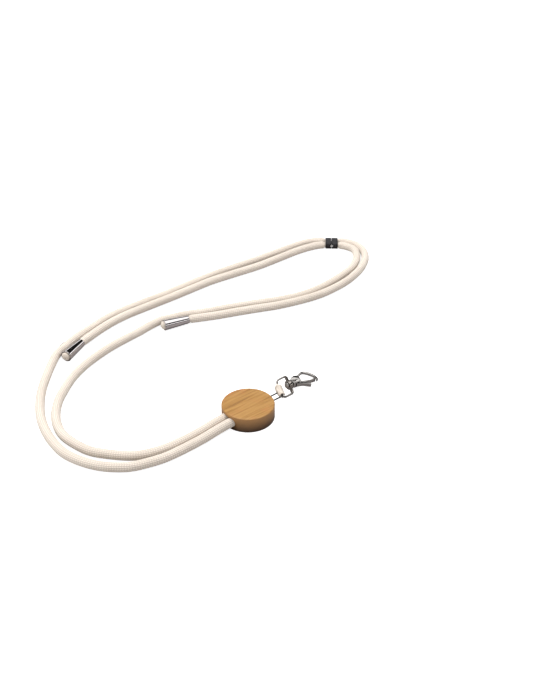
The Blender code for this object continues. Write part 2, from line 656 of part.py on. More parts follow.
def build_clip():
    """Two halves that meet in the middle, and the steel pin that joins them."""
    plastic = plain_material("clip_plastic", (0.03, 0.03, 0.03), 0.35)
    half_width = CLIP_WIDTH / 2
    half_height = CLIP_HEIGHT / 2
    corners = [
        (x * half_width, y * half_height, CLIP_CORNER)
        for x, y in ((-1, -1), (1, -1), (1, 1), (-1, 1))
    ]
    length = (CLIP_LENGTH - GAP) / 2
    near = -half_width + CLIP_PIN_INSET
    lengthwise = Matrix.Rotation(math.radians(90), 4, "Z") @ Matrix.Rotation(math.radians(90), 4, "X")
    for name, side in (("clip_socket", -1), ("clip_plug", 1)):
        centre = side * (GAP + length) / 2
        place = CLIP_PLACE @ Matrix.Translation((centre, 0, 0)) @ lengthwise
        half = slab(name, rounded(corners, steps=5), length, place)
        ease_edges(half, CLIP_EDGE)
        outside = side * CLIP_LENGTH
        bottom = side * (CLIP_LENGTH / 2 - CUP_DEPTH)
        for lane in (-1, 1):
            y = lane * CORD_PITCH / 2
            cup = cylinder(
                f"{name}_cup_{lane}", CLIP_NECK + GAP, (bottom, y, 0), (outside, y, 0), CLIP_PLACE
            )
            combine(half, cup)
        deep = side * (CLIP_PIN_LENGTH / 2 + GAP)
        bore = cylinder(
            name + "_bore", CLIP_PIN_RADIUS + GAP, (-deep / 4, near, 0), (deep, near, 0), CLIP_PLACE
        )
        combine(half, bore)
        long, tall = CLIP_WINDOW / 2
        window = box(name + "_window", (-long, -half_width * 1.1, -tall), (long, near, tall), CLIP_PLACE)
        combine(half, window)
        finish(half, plastic)
    reach = CLIP_PIN_LENGTH / 2
    pin = cylinder(
        "clip_pin", CLIP_PIN_RADIUS, (-reach, near, 0), (reach, near, 0), CLIP_PLACE,
        helper=False, sides=24,
    )
    ease_edges(pin, CLIP_PIN_RADIUS / 4)
    finish(pin, plain_material("pin_steel", (0.7, 0.7, 0.7), 0.2, 1))


def smooth_line(route, step):
    """Points a step apart on a smooth curve through the route's own points."""
    route = np.array(route, float)
    ends = np.vstack([2 * route[0] - route[1], route, 2 * route[-1] - route[-2]])
    knots = np.concatenate([[0], np.cumsum(np.sqrt(np.linalg.norm(np.diff(ends, axis=0), axis=1)))])
    line = [route[0]]
    for i in range(1, len(ends) - 2):
        a, b, c, d = ends[i - 1 : i + 3]
        ta, tb, tc, td = knots[i - 1 : i + 3]
        count = max(2, math.ceil(np.linalg.norm(c - b) / step))
        for t in np.linspace(tb, tc, count + 1)[1:]:
            ab = (a * (tb - t) + b * (t - ta)) / (tb - ta)
            bc = (b * (tc - t) + c * (t - tb)) / (tc - tb)
            cd = (c * (td - t) + d * (t - tc)) / (td - tc)
            abc = (ab * (tc - t) + bc * (t - ta)) / (tc - ta)
            bcd = (bc * (td - t) + cd * (t - tb)) / (td - tb)
            line.append((abc * (tc - t) + bcd * (t - tb)) / (tc - tb))
    return np.array(line)


def build_cord(name, route, necks, material):
    """A tube along the route. Each neck is (distance, from the end, radius)."""
    line = smooth_line(route, CORD_RADIUS / 4)
    run = np.concatenate([[0], np.cumsum(np.linalg.norm(np.diff(line, axis=0), axis=1))])
    stations = [0, len(line) - 1]
    marks = sorted((run[-1] - far if at_end else far, size) for far, at_end, size in necks)
    for far, _ in marks:
        stations.append(int(np.argmin(abs(run - far))))
    stations = sorted(set(stations))
    chosen = [0]
    while chosen[-1] < len(line) - 1:
        start = chosen[-1]
        limit = min(s for s in stations if s > start)
        end = start + 1
        while end < limit:
            chord = line[end + 1] - line[start]
            span = np.linalg.norm(chord)
            off = line[start : end + 2] - line[start]
            sag = np.linalg.norm(off - np.outer(off @ chord, chord) / span**2, axis=1).max()
            if span > CORD_STEP or sag > CORD_SAG:
                break
            end += 1
        chosen.append(end)
    sizes = np.ones(len(chosen))
    if marks:
        places, radii = zip(*marks)
        sizes = np.interp(run[chosen], places, np.array(radii) / CORD_RADIUS)
    return finish(tube(name, line[chosen], CORD_RADIUS, sizes=sizes, resolution=4), material)


def build_cords():
    knit = plain_material("ecru_knit", (0.80, 0.74, 0.64), 0.9)
    inside_clip = CUP_DEPTH - GAP
    at_clip = [
        (0, True, CLIP_NECK),
        (inside_clip, True, CLIP_NECK),
        (inside_clip + NECK_RUN, True, CORD_RADIUS),
    ]
    entry = TIP_REACH + FERRULE_LENGTH
    in_ferrule = [(far * TIP_REACH, False, size * CORD_RADIUS) for far, size in TIP_SHAPE]
    in_ferrule += [
        (entry, False, FERRULE_NECK),
        (entry + GAP, False, FERRULE_NECK),
        (entry + NECK_RUN, False, CORD_RADIUS),
    ]
    build_cord("cord_outer", OUTER_ROUTE, at_clip, knit)
    build_cord("cord_inner", INNER_ROUTE, at_clip, knit)
    build_cord("cord_end_left", LEFT_END_ROUTE, in_ferrule + at_clip, knit)
    build_cord("cord_end_right", RIGHT_END_ROUTE, in_ferrule + at_clip, knit)


build_disc()
build_wire_tab()
build_eye()
build_tape()
build_hook()
build_lever()
chrome = plain_material("ferrule_chrome", (0.65, 0.65, 0.66), 0.12, 1)
build_ferrule("ferrule_left", LEFT_END_ROUTE[1], LEFT_END_ROUTE[3], chrome)
build_ferrule("ferrule_right", RIGHT_END_ROUTE[1], RIGHT_END_ROUTE[3], chrome)
build_clip()
build_cords()
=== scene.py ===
import math

import bmesh
import bpy
import numpy as np
from mathutils import Matrix, Vector, noise


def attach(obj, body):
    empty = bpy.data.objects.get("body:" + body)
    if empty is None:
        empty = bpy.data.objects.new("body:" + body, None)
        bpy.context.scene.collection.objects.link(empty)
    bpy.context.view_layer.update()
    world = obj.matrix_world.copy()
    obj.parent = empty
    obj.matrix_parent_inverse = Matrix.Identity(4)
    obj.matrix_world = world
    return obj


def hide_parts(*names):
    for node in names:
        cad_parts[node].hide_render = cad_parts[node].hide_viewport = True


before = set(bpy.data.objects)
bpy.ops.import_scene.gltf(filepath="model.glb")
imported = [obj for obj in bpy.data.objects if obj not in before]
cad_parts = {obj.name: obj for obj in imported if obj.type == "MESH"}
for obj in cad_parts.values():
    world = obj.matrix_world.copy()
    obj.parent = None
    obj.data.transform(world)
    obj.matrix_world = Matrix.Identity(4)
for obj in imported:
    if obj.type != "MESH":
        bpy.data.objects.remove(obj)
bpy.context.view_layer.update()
print("frame loaded:", len(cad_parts), "solids")

scene = bpy.context.scene
scene.view_settings.view_transform = "Standard"

clearance = 0.0003  # what the solids leave between touching pieces
floorGap = 0.00005


# Camera, floor and light ------------------------------------------------------------

studio = {
    "cameraAt": (-0.3640, -0.4592, 0.4395),
    "cameraAim": (0.07175, 0.0601, 0.0),
    "lens": 50,
    "film": 36,  # along the photograph's long side
    "floorSize": 12,
    "floorColour": (0.50, 0.49, 0.48),
    "floorMirrored": (0.25, 0.225, 0.215),  # what metal and lacquer see of it
    "floorGlow": 0.90,
    "skyColour": (0.97, 0.98, 1.0),
    "skyStrength": 0.68,
    "lamps": (  # place, aim, width, depth, watts
        ((0.12, 0.42, 1.20), (0.06, 0.08, 0.0), 1.3, 1.0, 19.0),
        ((-0.95, 0.30, 0.85), (0.02, 0.06, 0.0), 0.6, 0.8, 5.0),
        ((0.75, -0.70, 1.0), (0.08, 0.08, 0.0), 0.5, 0.5, 1.6),
    ),
}


def aimAt(obj, target):
    obj.rotation_euler = (Vector(target) - obj.location).to_track_quat("-Z", "Y").to_euler()


def addCamera():
    data = bpy.data.cameras.new("photo_view")
    data.sensor_fit = "AUTO"
    data.sensor_width = studio["film"]
    data.lens = studio["lens"]
    data.clip_start = 0.01
    data.clip_end = 50
    camera = bpy.data.objects.new("photo_view", data)
    scene.collection.objects.link(camera)
    camera.location = studio["cameraAt"]
    aimAt(camera, studio["cameraAim"])
    scene.camera = camera


def addLamps():
    for i, (place, aim, width, depth, watts) in enumerate(studio["lamps"]):
        data = bpy.data.lights.new(f"softbox_{i}", "AREA")
        data.shape = "RECTANGLE"
        data.size = width
        data.size_y = depth
        data.energy = watts
        lamp = bpy.data.objects.new(f"softbox_{i}", data)
        scene.collection.objects.link(lamp)
        lamp.location = place
        aimAt(lamp, aim)
        lamp.visible_glossy = False  # metal mirrors the banded room instead


def addWorld():
    # the camera sees a plain pale room, while metal mirrors one with a dark band round it
    world = bpy.data.worlds.new("studio")
    scene.world = world
    world.use_nodes = True
    tree = world.node_tree
    tree.nodes.clear()
    coords = tree.nodes.new("ShaderNodeTexCoord")
    split = tree.nodes.new("ShaderNodeSeparateXYZ")
    ramp = tree.nodes.new("ShaderNodeValToRGB")
    stops = (
        (0.0, 0.35), (0.05, 0.02), (0.20, 0.01), (0.25, 1.7), (0.38, 1.7), (0.43, 0.01),
        (0.74, 0.01), (0.80, 1.9), (1.0, 1.8),
    )
    elements = ramp.color_ramp.elements
    while len(elements) < len(stops):
        elements.new(0.5)
    for element, (place, grey) in zip(elements, stops):
        element.position = place
        element.color = (grey, grey * 0.97, grey * 0.94, 1)
    sky = tree.nodes.new("ShaderNodeBackground")
    sky.inputs["Color"].default_value = (*studio["skyColour"], 1)
    sky.inputs["Strength"].default_value = studio["skyStrength"]
    mirrored = tree.nodes.new("ShaderNodeBackground")
    path = tree.nodes.new("ShaderNodeLightPath")
    mix = tree.nodes.new("ShaderNodeMixShader")
    out = tree.nodes.new("ShaderNodeOutputWorld")
    tree.links.new(coords.outputs["Generated"], split.inputs[0])
    tree.links.new(split.outputs["Z"], ramp.inputs["Fac"])
    tree.links.new(ramp.outputs["Color"], mirrored.inputs["Color"])
    tree.links.new(path.outputs["Is Glossy Ray"], mix.inputs["Fac"])
    tree.links.new(sky.outputs[0], mix.inputs[1])
    tree.links.new(mirrored.outputs[0], mix.inputs[2])
    seen = tree.nodes.new("ShaderNodeBackground")
    plain = tree.nodes.new("ShaderNodeMixShader")
    tree.links.new(path.outputs["Is Camera Ray"], plain.inputs["Fac"])
    tree.links.new(mix.outputs[0], plain.inputs[1])
    tree.links.new(seen.outputs[0], plain.inputs[2])
    tree.links.new(plain.outputs[0], out.inputs["Surface"])
    seen.inputs["Color"].default_value = (1, 1, 1, 1)


def addFloor():
    half = studio["floorSize"] / 2
    mesh = bpy.data.meshes.new("floor")
    corners = [(-half, -half, 0), (half, -half, 0), (half, half, 0), (-half, half, 0)]
    mesh.from_pydata(corners, [], [(0, 1, 2, 3)])
    floor = bpy.data.objects.new("floor", mesh)
    scene.collection.objects.link(floor)
    floor.location.z = -0.00002
    material = bpy.data.materials.new("floor_paper")
    material.use_nodes = True
    shader = material.node_tree.nodes["Principled BSDF"]
    tint = material.node_tree.nodes.new("ShaderNodeMix")
    tint.data_type = "RGBA"
    tint.inputs[6].default_value = (*studio["floorColour"], 1)
    tint.inputs[7].default_value = (*studio["floorMirrored"], 1)
    shader.inputs["Roughness"].default_value = 0.9
    shader.inputs["Specular IOR Level"].default_value = 0.1
    path = material.node_tree.nodes.new("ShaderNodeLightPath")
    glow = material.node_tree.nodes.new("ShaderNodeMath")
    glow.operation = "MULTIPLY"
    glow.inputs[1].default_value = studio["floorGlow"]
    shader.inputs["Emission Color"].default_value = (1, 1, 1, 1)
    material.node_tree.links.new(path.outputs["Is Glossy Ray"], tint.inputs[0])
    material.node_tree.links.new(tint.outputs[2], shader.inputs["Base Color"])
    material.node_tree.links.new(path.outputs["Is Camera Ray"], glow.inputs[0])
    material.node_tree.links.new(glow.outputs[0], shader.inputs["Emission Strength"])
    mesh.materials.append(material)


addCamera()
addLamps()
addWorld()
addFloor()
print("camera, lamps and floor set")


# Mesh helpers -----------------------------------------------------------------------

def addObject(name, mesh, place=None):
    obj = bpy.data.objects.new(name, mesh)
    scene.collection.objects.link(obj)
    if place is not None:
        mesh.transform(place)
    return obj


def smoothShade(obj, sharpDegrees=35):
    obj.data.shade_smooth()
    obj.data.set_sharp_from_angle(angle=math.radians(sharpDegrees))
    return obj


def meshFromGrid(name, grid, closedAlong=False, closedAround=True, caps=True, lay=None):
    # grid is rings x points x 3, and lay gives each point's place round and along the piece
    rings, around, _ = grid.shape
    verts = grid.reshape(-1, 3)
    i = np.arange(rings if closedAlong else rings - 1)[:, None]
    j = np.arange(around if closedAround else around - 1)[None, :]
    following = (i + 1) % rings
    beside = (j + 1) % around
    quads = np.stack(np.broadcast_arrays(
        i * around + j, i * around + beside, following * around + beside, following * around + j
    ), -1).reshape(-1, 4)
    faces = [tuple(face) for face in quads.tolist()]
    if caps and closedAround and not closedAlong:
        faces.append(tuple(range(around))[::-1])
        faces.append(tuple(range((rings - 1) * around, rings * around)))
    mesh = bpy.data.meshes.new(name)
    mesh.from_pydata(verts.tolist(), [], faces)
    if lay is not None:
        layer = mesh.uv_layers.new(name="lay")
        loops = np.empty(len(mesh.loops), dtype=np.int64)
        mesh.loops.foreach_get("vertex_index", loops)
        flat = lay.reshape(-1, 2)[loops]
        quadLoops = len(quads) * 4
        wrap = np.tile(np.array([0, 1, 1, 0]), len(quads)) * (
            np.repeat((quads[:, 1] < quads[:, 0]).astype(float), 4)
        )
        flat[:quadLoops, 0] += wrap
        layer.data.foreach_set("uv", flat.astype(np.float32).ravel())
    mesh.update()
    return mesh


def recalculated(obj):
    shape = bmesh.new()
    shape.from_mesh(obj.data)
    bmesh.ops.remove_doubles(shape, verts=shape.verts, dist=1e-7)
    bmesh.ops.recalc_face_normals(shape, faces=shape.faces)
    shape.to_mesh(obj.data)
    shape.free()
    return obj


def applied(obj):
    # the mesh with its modifiers, in place of the modifiers
    bpy.context.view_layer.update()
    graph = bpy.context.evaluated_depsgraph_get()
    mesh = bpy.data.meshes.new_from_object(obj.evaluated_get(graph))
    obj.modifiers.clear()
    obj.data = mesh
    return obj


def combined(obj, others, operation):
    for other in others:
        modifier = obj.modifiers.new(other.name, "BOOLEAN")
        modifier.operation = operation
        modifier.object = other
        modifier.solver = "EXACT"
        applied(obj)
        bpy.data.objects.remove(other)
    return obj


def eased(obj, width, segments=4, angle=30):
    bevel = obj.modifiers.new("eased", "BEVEL")
    bevel.width = width
    bevel.segments = segments
    bevel.limit_method = "ANGLE"
    bevel.angle_limit = math.radians(angle)
    return applied(obj)


def roundedOutline(corners, closed=True, steps=10):
    # points round an outline whose corners are (x, y, radius)
    points = []
    count = len(corners)
    for i, (x, y, radius) in enumerate(corners):
        corner = Vector((x, y))
        if radius == 0 or (not closed and i in (0, count - 1)):
            points.append(corner)
            continue
        back = (Vector(corners[i - 1][:2]) - corner).normalized()
        on = (Vector(corners[(i + 1) % count][:2]) - corner).normalized()
        half = back.angle(on) / 2
        centre = corner + (back + on).normalized() * (radius / math.sin(half))
        first = corner + back * (radius / math.tan(half)) - centre
        last = corner + on * (radius / math.tan(half)) - centre
        start = math.atan2(first.y, first.x)
        turn = (math.atan2(last.y, last.x) - start + math.pi) % (2 * math.pi) - math.pi
        for step in range(steps + 1):
            angle = start + turn * step / steps
            points.append(centre + radius * Vector((math.cos(angle), math.sin(angle))))
    return points


def flatBlank(name, outline, thickness, place=None):
    shape = bmesh.new()
    low = [shape.verts.new((p[0], p[1], -thickness / 2)) for p in outline]
    high = [shape.verts.new((p[0], p[1], thickness / 2)) for p in outline]
    shape.faces.new(low[::-1])
    shape.faces.new(high)
    for i in range(len(low)):
        j = (i + 1) % len(low)
        shape.faces.new((low[i], low[j], high[j], high[i]))
    mesh = bpy.data.meshes.new(name)
    shape.to_mesh(mesh)
    shape.free()
    return recalculated(addObject(name, mesh, place))


def turnedPiece(name, profile, place=None, steps=96, closed=False):
    # a profile of (radius, height) spun round Z, closed where it comes back to its start
    angles = np.linspace(0, 2 * math.pi, steps, endpoint=False)
    profile = np.array(profile, float)
    grid = np.stack([
        profile[:, 0][:, None] * np.cos(angles), profile[:, 0][:, None] * np.sin(angles),
        np.broadcast_to(profile[:, 1][:, None], (len(profile), steps)),
    ], -1)
    mesh = meshFromGrid(name, grid, closedAlong=closed, caps=not closed)
    return recalculated(addObject(name, mesh, place))


def rod(name, radius, start, end, place=None, steps=48):
    run = Vector(end) - Vector(start)
    turn = run.to_track_quat("Z", "Y").to_matrix().to_4x4()
    stand = Matrix.Translation(Vector(start)) @ turn
    profile = ((radius, 0), (radius, run.length))
    return turnedPiece(name, profile, (place or Matrix()) @ stand, steps)


def blockPiece(name, low, high, place=None):
    shape = bmesh.new()
    bmesh.ops.create_cube(shape, size=1)
    bmesh.ops.scale(shape, vec=Vector(high) - Vector(low), verts=shape.verts)
    bmesh.ops.translate(shape, vec=(Vector(low) + Vector(high)) / 2, verts=shape.verts)
    mesh = bpy.data.meshes.new(name)
    shape.to_mesh(mesh)
    shape.free()
    return addObject(name, mesh, place)


def barPiece(name, points, radii, place=None, steps=32, closed=False):
    # a round bar whose path lies in one plane, z = 0 of its own place
    points = np.array(points, float)
    ahead = np.roll(points, -1, 0) - np.roll(points, 1, 0)
    if not closed:
        ahead[0] = points[1] - points[0]
        ahead[-1] = points[-1] - points[-2]
    ahead /= np.linalg.norm(ahead, axis=1)[:, None]
    up = np.array([0.0, 0.0, 1.0])
    side = np.cross(ahead, up)
    angles = np.linspace(0, 2 * math.pi, steps, endpoint=False)
    radii = np.broadcast_to(np.array(radii, float), (len(points),))
    grid = points[:, None] + radii[:, None, None] * (
        side[:, None] * np.cos(angles)[None, :, None] + up * np.sin(angles)[None, :, None]
    )
    mesh = meshFromGrid(name, grid, closedAlong=closed, caps=not closed)
    return recalculated(addObject(name, mesh, place))


def smoothLine(route, step):
    # points about a step apart on a smooth curve through the route's own points
    route = np.array(route, float)
    ends = np.vstack([2 * route[0] - route[1], route, 2 * route[-1] - route[-2]])
    knots = np.concatenate([[0], np.cumsum(np.sqrt(np.linalg.norm(np.diff(ends, axis=0), axis=1)))])
    line = [route[0]]
    for i in range(1, len(ends) - 2):
        a, b, c, d = ends[i - 1:i + 3]
        ta, tb, tc, td = knots[i - 1:i + 3]
        count = max(2, math.ceil(np.linalg.norm(c - b) / step))
        for t in np.linspace(tb, tc, count + 1)[1:]:
            ab = (a * (tb - t) + b * (t - ta)) / (tb - ta)
            bc = (b * (tc - t) + c * (t - tb)) / (tc - tb)
            cd = (c * (td - t) + d * (t - tc)) / (td - tc)
            abc = (ab * (tc - t) + bc * (t - ta)) / (tc - ta)
            bcd = (bc * (td - t) + cd * (t - tb)) / (td - tb)
            line.append((abc * (tc - t) + bcd * (t - tb)) / (tc - tb))
    return np.array(line)


def runAlong(line):
    return np.concatenate([[0], np.cumsum(np.linalg.norm(np.diff(line, axis=0), axis=1))])


def evenly(line, step):
    run = runAlong(line)
    places = np.linspace(0, run[-1], max(2, round(run[-1] / step)) + 1)
    return np.stack([np.interp(places, run, line[:, i]) for i in range(3)], 1), places


# Material helpers -------------------------------------------------------------------

def newGroup(name, inputs, outputs):
    tree = bpy.data.node_groups.new(name, "ShaderNodeTree")
    for label, kind, value in inputs:
        socket = tree.interface.new_socket(name=label, in_out="INPUT", socket_type=kind)
        if value is not None:
            socket.default_value = value
    for label, kind in outputs:
        tree.interface.new_socket(name=label, in_out="OUTPUT", socket_type=kind)
    return tree, tree.nodes.new("NodeGroupInput"), tree.nodes.new("NodeGroupOutput")


def addNode(tree, kind, inputs=None, **settings):
    # inputs takes plain values or other nodes' outputs, by socket name or number
    node = tree.nodes.new(kind)
    for key, value in settings.items():
        setattr(node, key, value)
    for key, value in (inputs or {}).items():
        if isinstance(value, bpy.types.NodeSocket):
            tree.links.new(value, node.inputs[key])
        else:
            node.inputs[key].default_value = value
    return node


def maths(tree, operation, a, b=0.0, clamp=False):
    node = addNode(tree, "ShaderNodeMath", {0: a, 1: b}, operation=operation, use_clamp=clamp)
    return node.outputs[0]


def rampNode(tree, factor, stops):
    node = addNode(tree, "ShaderNodeValToRGB", {"Fac": factor})
    elements = node.color_ramp.elements
    while len(elements) < len(stops):
        elements.new(0.5)
    for element, (place, colour) in zip(elements, stops):
        element.position = place
        element.color = (*colour, 1)
    return node.outputs["Color"]


def mixColour(tree, factor, a, b, blend="MIX"):
    node = tree.nodes.new("ShaderNodeMix")
    node.data_type = "RGBA"
    node.blend_type = blend
    for index, value in ((0, factor), (6, a), (7, b)):
        if isinstance(value, bpy.types.NodeSocket):
            tree.links.new(value, node.inputs[index])
        elif index == 0:
            node.inputs[index].default_value = value
        else:
            node.inputs[index].default_value = (*value, 1)
    return node.outputs[2]


def buildYarnFuzz():
    tree, given, result = newGroup("yarnFuzz", (
        ("Vector", "NodeSocketVector", None),
        ("Fibre Scale", "NodeSocketFloat", 2600.0),
        ("Cloud Scale", "NodeSocketFloat", 60.0),
    ), (("Height", "NodeSocketFloat"), ("Tone", "NodeSocketFloat")))
    fibre = addNode(tree, "ShaderNodeTexNoise", {
        "Vector": given.outputs["Vector"], "Scale": given.outputs["Fibre Scale"],
        "Detail": 3.0, "Roughness": 0.7,
    })
    cloud = addNode(tree, "ShaderNodeTexNoise", {
        "Vector": given.outputs["Vector"], "Scale": given.outputs["Cloud Scale"], "Detail": 3.0,
    })
    tone = maths(tree, "ADD", maths(tree, "MULTIPLY", fibre.outputs["Fac"], 0.45),
                 maths(tree, "MULTIPLY", cloud.outputs["Fac"], 0.55))
    tree.links.new(fibre.outputs["Fac"], result.inputs["Height"])
    tree.links.new(tone, result.inputs["Tone"])
    return tree


def buildHandling():
    tree, given, result = newGroup("handlingMarks", (
        ("Vector", "NodeSocketVector", None),
        ("Scale", "NodeSocketFloat", 220.0),
        ("Low Roughness", "NodeSocketFloat", 0.1),
        ("High Roughness", "NodeSocketFloat", 0.25),
    ), (("Roughness", "NodeSocketFloat"), ("Height", "NodeSocketFloat"), ("Mask", "NodeSocketFloat")))
    smear = addNode(tree, "ShaderNodeTexNoise", {
        "Vector": given.outputs["Vector"], "Scale": given.outputs["Scale"],
        "Detail": 5.0, "Roughness": 0.62, "Distortion": 0.6,
    })
    stretched = addNode(tree, "ShaderNodeMapping", {
        "Vector": given.outputs["Vector"], "Scale": (1.0, 9.0, 4.0), "Rotation": (0.3, 0.5, 0.7),
    })
    scratch = addNode(tree, "ShaderNodeTexNoise", {
        "Vector": stretched.outputs[0], "Scale": given.outputs["Scale"], "Detail": 6.0,
    })
    mask = addNode(tree, "ShaderNodeMapRange", {
        "Value": smear.outputs["Fac"], "From Min": 0.35, "From Max": 0.7,
    })
    rough = addNode(tree, "ShaderNodeMapRange", {
        "Value": mask.outputs[0], "To Min": given.outputs["Low Roughness"],
        "To Max": given.outputs["High Roughness"],
    })
    tree.links.new(rough.outputs[0], result.inputs["Roughness"])
    tree.links.new(scratch.outputs["Fac"], result.inputs["Height"])
    tree.links.new(mask.outputs[0], result.inputs["Mask"])
    return tree


yarnFuzz = buildYarnFuzz()
handlingMarks = buildHandling()


def startMaterial(name):
    material = bpy.data.materials.new(name)
    material.use_nodes = True
    tree = material.node_tree
    shader = tree.nodes["Principled BSDF"]
    coords = tree.nodes.new("ShaderNodeTexCoord")
    return material, tree, shader, coords.outputs["Object"]


def placeGroup(tree, group, inputs):
    node = tree.nodes.new("ShaderNodeGroup")
    node.node_tree = group
    for key, value in inputs.items():
        if isinstance(value, bpy.types.NodeSocket):
            tree.links.new(value, node.inputs[key])
        else:
            node.inputs[key].default_value = value
    return node


def bumpInto(tree, shader, height, strength, distance, after=None):
    bump = addNode(tree, "ShaderNodeBump", {
        "Height": height, "Strength": strength, "Distance": distance,
    })
    if after is not None:
        tree.links.new(after, bump.inputs["Normal"])
    tree.links.new(bump.outputs["Normal"], shader.inputs["Normal"])
    return bump.outputs["Normal"]


knitLook = {
    "light": (0.92, 0.835, 0.735),
    "dark": (0.78, 0.69, 0.59),
    # painted shade: the dark colour laid into the knit's grooves
    "grooveShade": (0.50, 0.43, 0.365),
    "wales": 32,  # strands round the cord, two to each column of the relief
    "stitch": 0.00085,  # metres along it
    "lean": 0.55,
}


def knitMaterial():
    material, tree, shader, place = startMaterial("knitted_cotton")
    lay = addNode(tree, "ShaderNodeUVMap", uv_map="lay")
    split = addNode(tree, "ShaderNodeSeparateXYZ", {0: lay.outputs[0]})
    column = maths(tree, "MULTIPLY", split.outputs["X"], knitLook["wales"])
    across = maths(tree, "ABSOLUTE", maths(tree, "SUBTRACT", maths(tree, "FRACT", column), 0.5))
    across = maths(tree, "MULTIPLY", across, 2.0)
    leg = maths(tree, "SINE", maths(tree, "MULTIPLY", across, math.pi))
    along = maths(tree, "DIVIDE", split.outputs["Y"], knitLook["stitch"])
    along = maths(tree, "ADD", along, maths(tree, "MULTIPLY", across, knitLook["lean"]))
    loop = maths(tree, "SINE", maths(tree, "MULTIPLY", maths(tree, "FRACT", along), math.pi))
    stitch = maths(tree, "MULTIPLY", maths(tree, "POWER", leg, 0.6), maths(tree, "POWER", loop, 0.7))
    fuzz = placeGroup(tree, yarnFuzz, {"Vector": place, "Fibre Scale": 2400.0, "Cloud Scale": 35.0})
    tone = rampNode(tree, fuzz.outputs["Tone"], ((0.35, knitLook["dark"]), (0.6, knitLook["light"])))
    relief = addNode(tree, "ShaderNodeAttribute", attribute_name="relief").outputs["Fac"]
    # painted shade: low relief and the gaps between stitch loops are darkened towards the groove colour
    deep = addNode(tree, "ShaderNodeMapRange", {
        "Value": relief, "From Min": 0.42, "From Max": -0.30, "To Max": 0.78,
    })
    fine = maths(tree, "MULTIPLY", maths(tree, "SUBTRACT", 1.0, stitch), 0.22)
    grooveShaded = mixColour(tree, maths(tree, "ADD", deep.outputs[0], fine, True), tone, knitLook["grooveShade"])
    tree.links.new(grooveShaded, shader.inputs["Base Color"])
    first = bumpInto(tree, shader, stitch, 0.6, 0.00014)
    bumpInto(tree, shader, fuzz.outputs["Height"], 0.35, 0.00008, first)
    shader.inputs["Roughness"].default_value = 0.93
    shader.inputs["Specular IOR Level"].default_value = 0.2
    shader.inputs["Sheen Weight"].default_value = 0.25
    shader.inputs["Sheen Roughness"].default_value = 0.5
    return material


tapeLook = {
    "light": (0.70, 0.625, 0.54),
    "dark": (0.50, 0.43, 0.36),
    "threads": 2100.0,
}


def tapeMaterial():
    material, tree, shader, place = startMaterial("cotton_tape")
    lay = addNode(tree, "ShaderNodeUVMap", uv_map="lay")
    split = addNode(tree, "ShaderNodeSeparateXYZ", {0: lay.outputs[0]})
    warp = maths(tree, "SINE", maths(tree, "MULTIPLY", split.outputs["X"], tapeLook["threads"] * 4))
    weft = maths(tree, "SINE", maths(tree, "MULTIPLY", split.outputs["Y"], tapeLook["threads"] * 4))
    weave = maths(tree, "ADD", maths(tree, "MULTIPLY", maths(tree, "MULTIPLY", warp, weft), 0.5), 0.5)
    fuzz = placeGroup(tree, yarnFuzz, {"Vector": place, "Fibre Scale": 3000.0, "Cloud Scale": 140.0})
    tone = rampNode(tree, fuzz.outputs["Tone"], ((0.35, tapeLook["dark"]), (0.62, tapeLook["light"])))
    colour = mixColour(tree, maths(tree, "MULTIPLY", weave, 0.25), tone, tapeLook["dark"])
    tree.links.new(colour, shader.inputs["Base Color"])
    first = bumpInto(tree, shader, weave, 0.6, 0.00012)
    bumpInto(tree, shader, fuzz.outputs["Height"], 0.4, 0.00006, first)
    shader.inputs["Roughness"].default_value = 0.92
    shader.inputs["Specular IOR Level"].default_value = 0.2
    shader.inputs["Sheen Weight"].default_value = 0.2
    return material


def metalMaterial(name, colour, shade, low, high, scale=240.0, bump=0.12):
    material, tree, shader, place = startMaterial(name)
    marks = placeGroup(tree, handlingMarks, {
        "Vector": place, "Scale": scale, "Low Roughness": low, "High Roughness": high,
    })
    tint = mixColour(tree, maths(tree, "MULTIPLY", marks.outputs["Mask"], 0.6), colour, shade)
    tree.links.new(tint, shader.inputs["Base Color"])
    tree.links.new(marks.outputs["Roughness"], shader.inputs["Roughness"])
    bumpInto(tree, shader, marks.outputs["Height"], bump, 0.00003)
    shader.inputs["Metallic"].default_value = 1.0
    return material


clipLook = {"face": (0.008, 0.008, 0.009), "bloom": (0.020, 0.020, 0.024)}


def plasticMaterial():
    material, tree, shader, place = startMaterial("moulded_plastic")
    marks = placeGroup(tree, handlingMarks, {
        "Vector": place, "Scale": 300.0, "Low Roughness": 0.38, "High Roughness": 0.55,
    })
    grain = addNode(tree, "ShaderNodeTexNoise", {"Vector": place, "Scale": 5200.0, "Detail": 2.0})
    tint = mixColour(tree, marks.outputs["Mask"], clipLook["face"], clipLook["bloom"])
    tree.links.new(tint, shader.inputs["Base Color"])
    tree.links.new(marks.outputs["Roughness"], shader.inputs["Roughness"])
    bumpInto(tree, shader, grain.outputs["Fac"], 0.25, 0.00004)
    shader.inputs["Specular IOR Level"].default_value = 0.35
    return material


bambooLook = {
    "pale": (0.395, 0.215, 0.062),
    "mid": (0.290, 0.143, 0.034),
    "streak": (0.115, 0.046, 0.009),
    "rim": (0.42, 0.220, 0.070),
    # painted shade: the colour at the bottom of the disc's side, where it turns away from the light
    "rimShadedLow": (0.045, 0.018, 0.005),
    "blush": (0.39, 0.150, 0.046),
    "radius": 0.020,
    "height": 0.0124,
}


